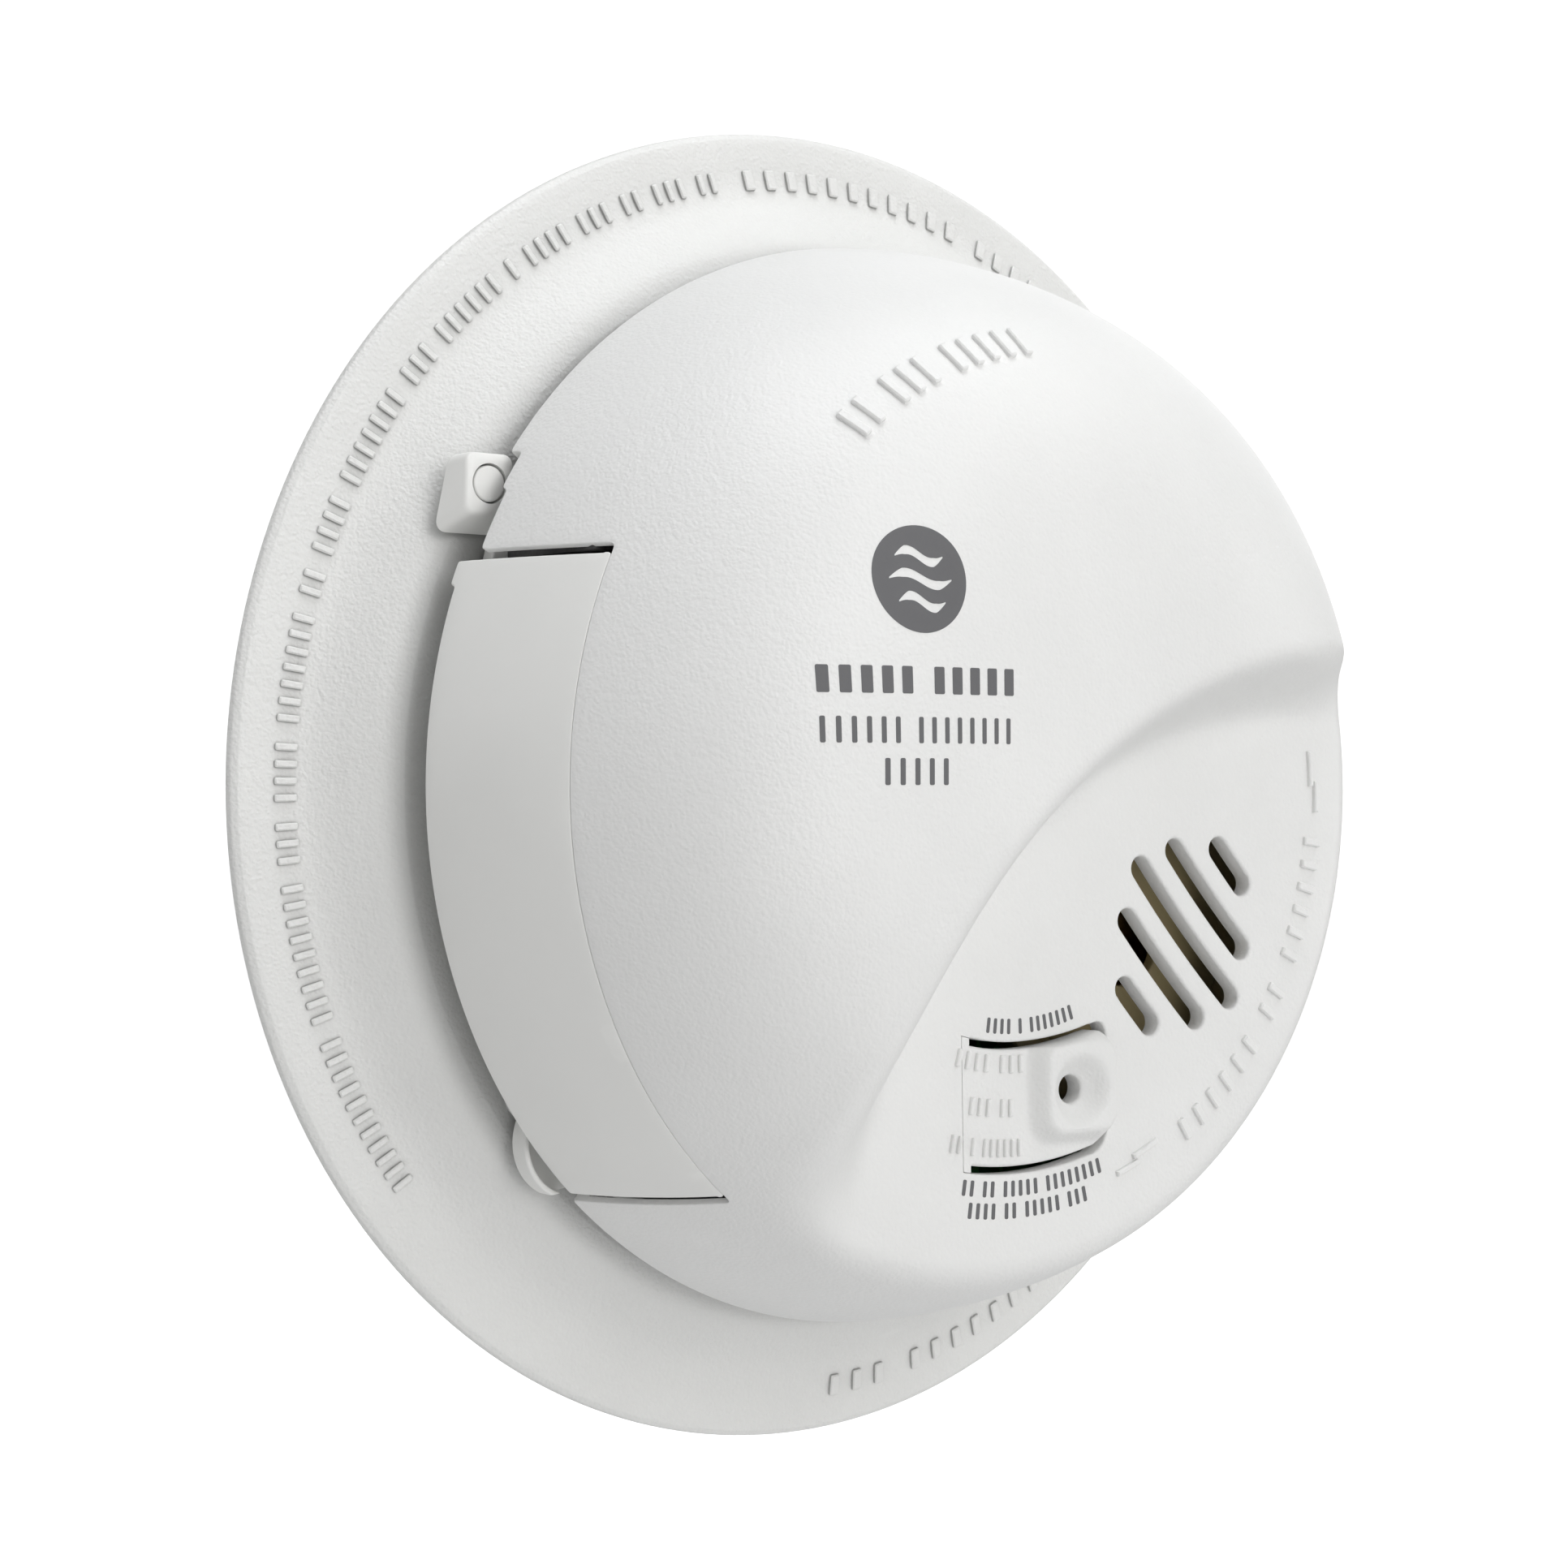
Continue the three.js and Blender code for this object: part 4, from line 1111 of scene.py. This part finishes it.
SCREWS = [tuple((a + b) / 2 for a, b in zip(*(p[:2] for p in node_box(f"board_screw_{k}")))) for k in (1, 2, 3)]
BOARD_LOW, BOARD_HIGH = node_box("circuit_board")
INLET_LOW, INLET_HIGH = node_box("inlet_socket")
INLET = (INLET_LOW + INLET_HIGH) / 2
LOCK_HOLE = (-42.5, -30.4)
LUG_ANGLES = (20, 140, 260)
HOOK_SPAN = 20


def make_base():
    low, high = INLET_LOW - GAP, INLET_HIGH + GAP
    openings = [prism(rounded_rect(INLET[0], INLET[1], high[0] - low[0], high[1] - low[1], 1.6), 0, 30),
                rod(PIN[0], PIN[1], PIN_R + GAP, 8.2, 30), rod(*LOCK_HOLE, 2.0, 8.0, 30)]
    body = cut(lathe(base_profile(), 240), *openings)
    details = [tube(x, y, 3.4, 1.3, FLOOR_TOP + 0.01, BOARD_LOW[2] - GAP, 0.25) for x, y in SCREWS]
    details += [tube(*LOCK_HOLE, 2.5, 2.02, FLOOR_TOP - 0.3, FLOOR_TOP + 0.2, 0.08)]
    details += [prism(ring_sector(48.2, POCKET_R + 0.3, a + 1, a + HOOK_SPAN - 2), 2.6, 4.9, 0.3) for a in LUG_ANGLES]
    details += [prism(ring_sector(48.9, 49.5, a, a + 9), FLOOR_BACK - 1.4, FLOOR_BACK + 0.1, 0.15)
                for a in range(45, 360, 30) if all(abs(a - h - 10) > 18 for h in LUG_ANGLES)]
    publish("base_shell", joined(body, *details), "base", "alarm", "base_housing")
    ring = filleted([(SPIGOT_R - 1.5, FLOOR_TOP - 0.5), (SPIGOT_R, FLOOR_TOP - 0.5), (SPIGOT_R, SPIGOT_TOP),
                     (SPIGOT_R - 1.5, SPIGOT_TOP)], 0.2)
    path = within(rod(PIN[0], PIN[1], OPENING_SWING_R, FLOOR_TOP - 0.1, 60, 180),
                        block(-90, -8, -90, NOTCH_TOP_Y + 4, FLOOR_TOP - 0.2, 61, 0))
    spigot = cut(lathe(ring, 200), path)
    publish("base_spigot", spigot, "base", "alarm")


# ---- the bracket on the wall ----
def make_bracket():
    low, high = node_box("mounting_bracket")
    thick = 2.2
    plate = tube(0, 0, 46, 24, low[2], thick, 0.3, 180)
    plate = cut(plate, *[prism(slot_loop(x, y, 10, 3.8, a), -1, 4)
                         for x, y, a in ((-40.6, 0, 90), (40.6, 0, 90), (0, -35, 0), (0, 35, 0))])
    parts = [plate, tube(0, 0, 27.4, 26, thick - 0.02, 4.6, 0.3, 120)]
    for a in LUG_ANGLES:
        parts.append(prism(ring_sector(43.5, 45.98, a, a + HOOK_SPAN), thick - 0.02, 5.3, 0))
        parts.append(prism(ring_sector(43.5, 51, a, a + HOOK_SPAN), 5.3, high[2], 0.35, 0.2))
        parts.append(prism(ring_sector(45.99, 50.6, a - 3, a + 0.2), 1, 6.6, 0.25))
    for a in range(12, 360, 24):
        parts.append(prism(ring_sector(28.6, 33.2, a, a + 1.6), thick - 0.02, thick + 0.9, 0.2))
    publish("bracket_plate", joined(*parts), "bracket", "bracket", "mounting_bracket")
    for k, (x, y) in enumerate(((-33, 12), (34, -14)), 1):
        stem = prism(slot_loop(0, 0, 15, 2.4, 0), 0, 2, 0.3)
        head = prism(rounded_rect(-6.5, 1.6, 2.4, 5.2, 1), 0.01, 1.99, 0.3)
        pin = joined(stem, head).turned(70).moved(x, y, thick + GAP)
        publish(f"spare_pin_{k}", pin, "bracket", "bracket", f"locking_pin_{k}")


# ---- the battery drawer ----
def drawer_outline():
    tab_low, tab_z = DRAWER_TOP_Y - 2.4, DRAWER_LIP_Z - 0.8
    lip_a = level_cut(DRAWER_TOP_Y, tab_z)
    tab_b, tab_c = level_cut(tab_low, tab_z), level_cut(tab_low, DRAWER_LIP_Z)
    low = swing_cut(DRAWER_SWING_R, DRAWER_LIP_Z)
    face_z = DRAWER_FACE_Z + PARTING
    face_a, face_b = level_cut(DRAWER_TOP_Y, face_z), swing_cut(DRAWER_SWING_R, face_z)
    loop = (level_path(lip_a, tab_b, tab_z, 20) + side_path(lambda z: level_cut(tab_low, z), tab_z, DRAWER_LIP_Z, 8)
            + level_path(tab_c, low, DRAWER_LIP_Z)
            + side_path(lambda z: swing_cut(DRAWER_SWING_R, z), DRAWER_LIP_Z, face_z)
            + level_path(face_b, face_a, face_z)
            + side_path(lambda z: level_cut(DRAWER_TOP_Y, z), face_z, tab_z))
    return softened(resampled(distinct(loop), 0.25), 3)


BATTERY_TURN = 8.0                   # the battery leans this far, in degrees
BATTERY_OUT, BATTERY_WIDE, BATTERY_LONG = 41.3, 26.5, 46.0
SNAP_HIGH = 2.1
WELL_OUT = BATTERY_OUT - BATTERY_WIDE - GAP - 1.4
LIP = dict(x=-39.1, y=-34.9, r=5.8, wall=0.6, inner=51.6, low=10.1, top=12.6)
EAR = dict(w=5.4, h=5.9, low=9.5, top=12.8, flare=1.7, drop=1.7)


def spot(out, up):
    """A point of the drawer's own plan: out from the axis towards the battery, and up along the battery."""
    a = math.radians(180 + BATTERY_TURN)
    return out * math.cos(a) + up * math.sin(a), out * math.sin(a) - up * math.cos(a)


def strip_between(a, b):
    """The part of the plan from a to b along the battery's own axis outwards."""
    return [spot(a, 90), spot(b, 90), spot(b, -90), spot(a, -90)]


def drawer_plan(out, swing_r, top_y, z0, z1):
    """The region of the drawer beyond `out`, below top_y and inside its swing."""
    return within(prism(strip_between(out, 90), z0, z1), block(-95, 95, -95, top_y, z0 - 1, z1 + 1, 0),
                  rod(PIN[0], PIN[1], swing_r, z0 - 2, z1 + 2, 180))


def inner_dome(drawn_in, low, high):
    z = np.linspace(max(low, COVER_EDGE), high, 30)
    outline = [(float(radius_at(h)) - drawn_in, float(h)) for h in z]
    return lathe([(0, low), (outline[0][0], low)] + outline[1:] + [(0, high)], 160)


def make_drawer():
    skin = shell([drawer_outline()], 0.9, SHELL, lambda p: np.where(p[:, 2] > DRAWER_FACE_Z - 0.5, 0.1, 0.3))
    low, high = 9.5, DRAWER_FACE_Z - 1
    tray_r = 52.6
    tray = within(inner_dome(SHELL - 0.25, low, high),
                  drawer_plan(WELL_OUT, DRAWER_SWING_R, DRAWER_TOP_Y, low - 1, high + 1),
                  rod(0, 0, tray_r, low - 1, high + 2, 180))
    well = drawer_plan(WELL_OUT + 1.4, DRAWER_SWING_R - 1.1, DRAWER_TOP_Y - 1.4, 10.9, 60)
    tray = cut(tray, well, block(-44.5, 90, 10, 90, 10.9, 60, 0))
    sill = lathe([(51.0, low), (tray_r - 0.3, low), (tray_r, 11.5), (55.0, 16.4), (55.0, 17.6), (51.0, 12.0)], 200)
    sill = within(sill, drawer_plan(WELL_OUT, DRAWER_SWING_R, DRAWER_TOP_Y, low - 1, 20))
    publish("drawer_tray", tray, "smooth", "drawer")
    publish("drawer_sill", sill, "smooth", "drawer")
    r, wall = LIP["r"], LIP["wall"]
    foot = LIP["low"]
    cup = spun([(0, foot), (r, foot), (r, LIP["top"]), (r - wall, LIP["top"]), (r - wall, foot + 0.9),
                (0, foot + 0.9)], [0, 0.4, 0.3, 0.3, 0.4, 0], 4, 72, LIP["x"], LIP["y"])
    cup = cut(within(cup, rod(PIN[0], PIN[1], DRAWER_SWING_R, 0, 30, 180)), rod(0, 0, LIP["inner"], 0, 30, 180))
    publish("drawer_lip", cup, "smooth", "drawer")
    publish("drawer_ear", hinge_ear(), "smooth", "drawer")
    publish("drawer_skin", skin, "smooth", "drawer", "battery_drawer")


def hinge_ear():
    """The block round the hinge pin, flaring towards its foot, and the arm that joins it to the tray."""
    hole = rod(PIN[0], PIN[1], PIN_R + 0.2, 0, 30, 48)
    front = np.asarray(rounded_rect(PIN[0], PIN[1], EAR["w"], EAR["h"], 1.0, 6))
    low_share = np.clip((PIN[1] + EAR["h"] / 2 - front[:, 1]) / EAR["h"], 0, 1)
    left_share = np.clip((PIN[0] + EAR["w"] / 2 - front[:, 0]) / EAR["w"], 0, 1)
    spread = np.stack([-EAR["flare"] * left_share * low_share, -EAR["drop"] * low_share], axis=1)
    rings = []
    for share, drawn, z in ((1.0, 0.25, EAR["low"]), (1.0, 0.0, EAR["low"] + 0.25), (0.16, 0.0, EAR["top"] - 0.5),
                            (0.1, 0.03, EAR["top"] - 0.3), (0.04, 0.12, EAR["top"] - 0.1), (0.0, 0.32, EAR["top"])):
        flat = inset(front + spread * share, drawn)
        rings.append(np.concatenate([flat, np.full((len(flat), 1), z)], axis=1))
    arm = prism([(-46.6, 27.0), (-48.5, 19.4), (-43.2, 20.0), (-44.6, 27.5)], EAR["low"] + 0.01, 11.4, 0.3)
    return joined(cut(rings_to_shape(rings), hole), arm)


# ---- the battery and its contacts ----
def battery_block(up0, up1, shrink, corner, low, high):
    x, y = spot(BATTERY_OUT - BATTERY_WIDE / 2, (up0 + up1) / 2)
    loop = rounded_rect(0, 0, BATTERY_WIDE - 2 * shrink, high - low - 2 * shrink, corner, 8)
    body = prism(loop, up0, up1, 0.5).tipped().moved(0, -(up0 + up1) / 2, (low + high) / 2)
    return body.turned(BATTERY_TURN).moved(x, y)


def node_middle(name):
    low, high = node_box(name)
    return (low + high) / 2, (high - low) / 2


def make_battery():
    low, high = (corner[2] for corner in node_box("battery_case"))
    top = -1.6 + (BATTERY_LONG + 2.5) / 2 - 2.5
    foot = top - BATTERY_LONG
    split = foot + 14.0
    publish("battery_body", battery_block(foot, top - 3.3, 0.05, 2.2, low, high), "jacket", "drawer", "battery_case")
    publish("battery_band", battery_block(foot + 2.0, split, 0.0, 2.2, low, high), "stripe", "drawer")
    publish("battery_end", battery_block(top - 3.0, top - GAP, 0.3, 2.0, low, high), "black", "drawer", "battery_cap")
    for name, r in (("battery_terminal_negative", 4.2), ("battery_terminal_positive", 2.9)):
        middle = node_middle(name)[0]
        if r > 4:
            stud = spun([(0, 0.0), (r - 0.8, 0.0), (r, 1.1), (r - 0.1, 2.1), (r - 1.0, 2.1), (r - 1.0, 0.5), (0, 0.5)],
                        [0, 0.2, 0.3, 0.2, 0.2, 0.2, 0], 3, 48)
        else:
            stud = spun([(0, 0.0), (r, 0.0), (r - 0.35, 0.8), (r, 1.5), (r - 0.3, 2.1), (0, 2.1)],
                        [0, 0.2, 0.3, 0.3, 0.4, 0], 3, 48)
        stud = stud.tipped().moved(0, -SNAP_HIGH / 2, middle[2]).turned(BATTERY_TURN).moved(middle[0], middle[1])
        publish(name.replace("battery_terminal", "snap"), stud, "nickel", "drawer", name)
    for name in ("battery_contact_negative", "battery_contact_positive"):
        low, high = node_box(name)
        x, ribs = (low[0] + high[0]) / 2, []
        for k in range(9):
            t = -1 + k / 4
            ribs.append((x + 2.55 * t, low[1] + 0.05 + 0.5 * t * t))
        ribs += [(px, py + 0.35) for px, py in reversed(ribs)]
        leaf = prism(ribs, 14.5, 24.5, 0.05)
        leg = block(x - 1.1, x + 1.1, low[1] + 0.42, high[1], 18.4, 20.4, 0.1)
        publish(name.replace("battery_", "spring_"), joined(leaf, leg), "nickel", "alarm", name)
    low, high = node_box("contact_block")
    wall = block(low[0], high[0], low[1], high[1], low[2], high[2], 0.3)
    ribs = [block(x, x + 1.0, high[1] - 0.35, high[1] - 0.02, low[2] + 1, high[2] - 1, 0.1)
            for x in np.arange(low[0] + 2, high[0] - 2, 3.0)]
    # Painted shade: a black baffle behind the slot above the drawer and a black liner along the drawer's swing behind
    # the gap below it stand where there is only shade, so that those gaps look dark.
    shade_baffle = block(-47.5, low[0] + 20, 21.6, low[1] + 0.05, 13.5, 28.0, 0.1)
    shade_liner = within(tube(PIN[0], PIN[1], OPENING_SWING_R + 1.7, OPENING_SWING_R + 0.4, 13.5, 28.5, 0.1, 180),
                   block(-60, -29.5, -60, -30, 13, 29, 0), inner_dome(SHELL + 0.3, 13.2, 29.5),
                   rod(0, 0, SPIGOT_R - 1.8, 0, 60, 180))
    publish("contact_wall_and_shade_baffles", joined(wall, shade_baffle, shade_liner, *ribs), "black", "alarm", "contact_block")


# ---- the board and what stands on it ----
BOARD_R = 48.5
SENSOR = (23, 25)
PARTS_Z = BOARD_HIGH[2] + GAP         # what stands on the board starts at this height


def make_screws():
    top = PARTS_Z
    for k, (x, y) in enumerate(SCREWS, 1):
        head = spun([(0, top), (2.8, top), (2.75, top + 0.7), (1.7, top + 1.75), (0, top + 1.8)],
                    [0, 0.1, 0.4, 0.4, 0], 4, 36, x, y)
        head = cut(head, *[block(x - w / 2, x + w / 2, y - h / 2, y + h / 2, top + 0.9, 40, 0)
                           for w, h in ((3.0, 0.6), (0.6, 3.0))])
        shank = [(0, FLOOR_TOP + 0.4)]
        for i in range(14):
            z = FLOOR_TOP + 0.4 + i * (top - FLOOR_TOP - 0.5) / 14
            shank += [(0.75, z), (1.0, z + 0.2)]
        shank += [(0.75, top - 0.05), (0, top - 0.05)]
        publish(f"screw_{k}", joined(head, lathe(shank, 24, x, y)), "steel", "alarm", f"board_screw_{k}")


def make_horn():
    (x, y), lid = node_middle("horn_housing")[0][:2], node_box("horn_housing")[1][2]
    cup = spun([(0, PARTS_Z), (14.6, PARTS_Z), (15.0, lid), (5.0, lid), (5.0, lid - 1.5), (13.6, lid - 1.5),
                (13.6, 20), (0, 20)], [0, 0.3, 0.6, 0.4, 0.2, 0.3, 0.3, 0], 4, 96, x, y)
    collar = tube(x, y, 19.0, 14.99, lid - 1.2, lid - 0.3, 0.25, 96)
    publish("horn_cup", joined(cup, collar), "horn", "alarm", "horn_housing")
    plate, bead = rod(x, y, 12.8, 20.3, 20.7, 72, 0.1), rod(x, y, 8.6, 20.7, 20.98, 60, 0.08)
    publish("sounder_disc", joined(plate, bead), "brass", "alarm", "piezo_disc")


def make_sensor():
    can = spun([(0, PARTS_Z), (10, PARTS_Z), (10, PARTS_Z + 1.0), (9.7, PARTS_Z + 1.2), (9.7, 30.2), (10, 30.5),
                (10, 31), (0, 31)], [0, 0.2, 0.2, 0.2, 0.2, 0.2, 0.2, 0], 3, 72, *SENSOR)
    publish("sensor_can", can, "nickel", "alarm", "co_sensor_cell")
    lid = spun([(0, 31.3), (10.2, 31.3), (10.2, 33.4), (9.4, 34.2), (2.2, 34.2), (2.2, 33), (0, 33)],
               [0, 0.2, 0.4, 0.4, 0.2, 0.2, 0], 4, 72, *SENSOR)
    publish("sensor_lid", lid, "black", "alarm", "co_sensor_cap")


def make_board():
    disc = within(rod(0, 0, BOARD_R, BOARD_LOW[2], BOARD_HIGH[2], 160, 0.12), prism(strip_between(-90, 11.8), 0, 60))
    disc = cut(disc, *[rod(x, y, 1.7, 0, 60, 24) for x, y in SCREWS])
    publish("board_sheet", disc, "board", "alarm", "circuit_board")
    make_screws()
    make_horn()
    make_sensor()
    top = PARTS_Z
    chip = block(-2.4, 9.4, 11.3, 17.7, top + 0.4, top + 2.6, 0.3)
    legs = [block(x, x + 0.5, y, y + 0.8, top, top + 1.2, 0.08)
            for x in np.arange(-1.8, 9.0, 1.27) for y in (10.55, 17.65)]
    publish("chip", joined(chip, *legs), "black", "alarm", "microcontroller")
    publish("film_box", block(-9, 9, 27, 35, top, top + 13, 0.6, 0.8), "film", "alarm", "film_capacitor")
    can = spun([(0, top), (5, top), (5, top + 1.6), (4.7, top + 2.0), (5, top + 2.4), (5, top + 14), (4.2, top + 14),
                (4.0, top + 13.8), (0, top + 13.8)], [0, 0.3, 0.2, 0.2, 0.2, 0.5, 0.1, 0.1, 0], 3, 60, -4, -16)
    publish("supply_capacitor", can, "sleeve", "alarm", "electrolytic_capacitor")
    pill = spun([(0, -1.8), (4.4, -1.8), (5.0, -0.9), (5.0, 0.9), (4.4, 1.8), (0, 1.8)],
                [0, 0.8, 0.6, 0.6, 0.8, 0], 4, 60)
    publish("surge_disc", pill.laid().moved(*node_middle("varistor")[0]), "varistor", "alarm", "varistor")
    x, y = node_middle("light_pipe")[0][:2]
    tip = [(1.3 * math.cos(math.radians(a)), 18.9 + 1.1 * math.sin(math.radians(a))) for a in (20, 40, 60, 75)]
    lamp = lathe([(0, top), (1.5, top), (1.5, top + 0.7), (1.3, top + 0.8), (1.3, 18.9)] + tip + [(0, 20)], 36, x, y)
    publish("lamp", lamp, "lens", "alarm", "alarm_led")
    publish("light_guide", rod(x, y, 1.3, 20.3, 31.6, 40, 0.2), "clear", "alarm", "light_pipe")
    low, high = node_box("switch_body")
    body = block(low[0], high[0], low[1], high[1], low[2], high[2], 0.3, 0.4)
    publish("key_switch", cut(body, rod(*KEY, 2.0, 16.7, 40, 36)), "black", "alarm", "switch_body")
    low, high = node_box("switch_plunger")
    publish("key_plunger", rod(*KEY, 1.7, low[2], high[2], 40, 0.25), "steel", "plunger", "switch_plunger")


# ---- the mains inlet and the label on the back ----
def make_back():
    w, h = INLET_HIGH[0] - INLET_LOW[0], INLET_HIGH[1] - INLET_LOW[1]
    body = prism(rounded_rect(INLET[0], INLET[1], w, h, 1.5), INLET_LOW[2], INLET_HIGH[2], 0.3)
    well = prism(rounded_rect(INLET[0], INLET[1], w - 3.6, h - 3.6, 1.0), 0, 10.6, 0)
    key = block(INLET[0] - 1.5, INLET[0] + 1.5, INLET_HIGH[1] - 1.9, INLET_HIGH[1] - 1.0, INLET_LOW[2] + 0.3, 10, 0.2)
    publish("inlet_shell", joined(cut(body, well), key), "black", "alarm", "inlet_socket")
    for k in (1, 2, 3):
        middle, half = node_middle(f"inlet_pin_{k}")
        loop = rounded_rect(middle[0], middle[1], 2 * half[0], 2 * half[1], 0.2)
        blade = prism(loop, middle[2] - half[2], middle[2] + half[2], 0.05, 0.3)
        publish(f"blade_{k}", blade, "brass", "alarm", f"inlet_pin_{k}")
    low, high = node_box("rating_label")
    label = prism(ring_sector(27, 42, 200, 340, 60), low[2], high[2], 0.1)
    publish("back_label", label, "label", "alarm", "rating_label")


def make_pin():
    low, high = node_box("drawer_hinge_pin")
    publish("hinge_pin", rod(PIN[0], PIN[1], PIN_R, low[2], high[2], 48, 0.25), "smooth", "alarm", "drawer_hinge_pin")


make_cover()
make_button()
make_marks()
make_prints()
make_base()
make_bracket()
make_drawer()
make_battery()
make_board()
make_back()
make_pin()


# ---- studio ----
AIM = Vector((0.0, -0.025, 0.0))
LIGHT_AWAY = 1.4
LIGHT_SIZE = 0.8
FLOOR_HALF, FLOOR_Z = 6, -0.26
COOL, PLAIN, WARM = (0.97, 0.985, 1.0), (1.0, 1.0, 1.0), (1.0, 0.99, 0.97)
SOFT_LIGHTS = (                       # azimuth, elevation, power in watts and colour
    (-60, 75, 6.9, COOL), (60, 75, 6.1, COOL), (0, 20, 7.6, PLAIN), (30, 45, 3.1, PLAIN), (60, -8, 2.8, WARM),
    (0, -8, 3.6, WARM), (-120, 20, 3.0, PLAIN), (120, 20, 2.6, PLAIN), (-60, -15, 3.4, PLAIN),
    (150, 45, 1.7, PLAIN), (180, 10, 4.0, PLAIN),
)


def white_to_camera(tree, other, seen_as):
    """A strength of `other` for lighting, and of seen_as where the camera looks straight at it."""
    seen = add_node(tree, "ShaderNodeLightPath").outputs["Is Camera Ray"]
    return add_node(tree, "ShaderNodeMapRange", {"Value": seen, "To Min": other, "To Max": seen_as}).outputs["Result"]


def make_studio():
    world = bpy.data.worlds.new("studio")
    bpy.context.scene.world = world
    world.use_nodes = True
    tree = world.node_tree
    background = tree.nodes["Background"]
    background.inputs["Color"].default_value = (1, 1, 1, 1)
    tree.links.new(white_to_camera(tree, 0.06, 1.1), background.inputs["Strength"])
    for k, (azimuth, elevation, power, colour) in enumerate(SOFT_LIGHTS, 1):
        a, e = math.radians(azimuth), math.radians(elevation)
        away = Vector((math.sin(a) * math.cos(e), -math.cos(a) * math.cos(e), math.sin(e)))
        data = bpy.data.lights.new(f"soft_{k}", "AREA")
        data.shape, data.size, data.energy, data.color = "SQUARE", LIGHT_SIZE, power, colour
        light = bpy.data.objects.new(data.name, data)
        light.location = AIM + LIGHT_AWAY * away
        light.rotation_euler = (-away).to_track_quat("-Z", "Y").to_euler()
        bpy.context.scene.collection.objects.link(light)
    bpy.context.scene.view_settings.view_transform = "Standard"

    floor = bpy.data.meshes.new("floor")
    floor.from_pydata([(x * FLOOR_HALF, y * FLOOR_HALF, FLOOR_Z) for x, y in ((-1, -1), (1, -1), (1, 1), (-1, 1))],
                      [], [(0, 1, 2, 3)])
    stage = bpy.data.objects.new("floor", floor)
    bpy.context.scene.collection.objects.link(stage)
    material, tree, shader = new_material("pale_floor", Roughness=0.9)
    where = add_node(tree, "ShaderNodeTexCoord").outputs["Object"]
    tree.links.new(mixed(tree, noise(tree, where, 400.0).outputs["Fac"], (0.42, 0.42, 0.42), (0.46, 0.46, 0.46)),
                   shader.inputs["Base Color"])
    shader.inputs["Emission Color"].default_value = (1, 1, 1, 1)
    tree.links.new(white_to_camera(tree, 0.24, 1.0), shader.inputs["Emission Strength"])
    floor.materials.append(material)


def make_camera():
    data = bpy.data.cameras.new("camera")
    data.sensor_width = 36
    data.lens = 62.31
    data.clip_start, data.clip_end = 0.01, 20
    camera = bpy.data.objects.new("camera", data)
    camera.location = (-0.18826, -0.2342, 0.0001)
    camera.rotation_euler = Vector((0.6205, 0.7842, 0)).to_track_quat("-Z", "Y").to_euler()
    bpy.context.scene.collection.objects.link(camera)
    bpy.context.scene.camera = camera


make_studio()
make_camera()
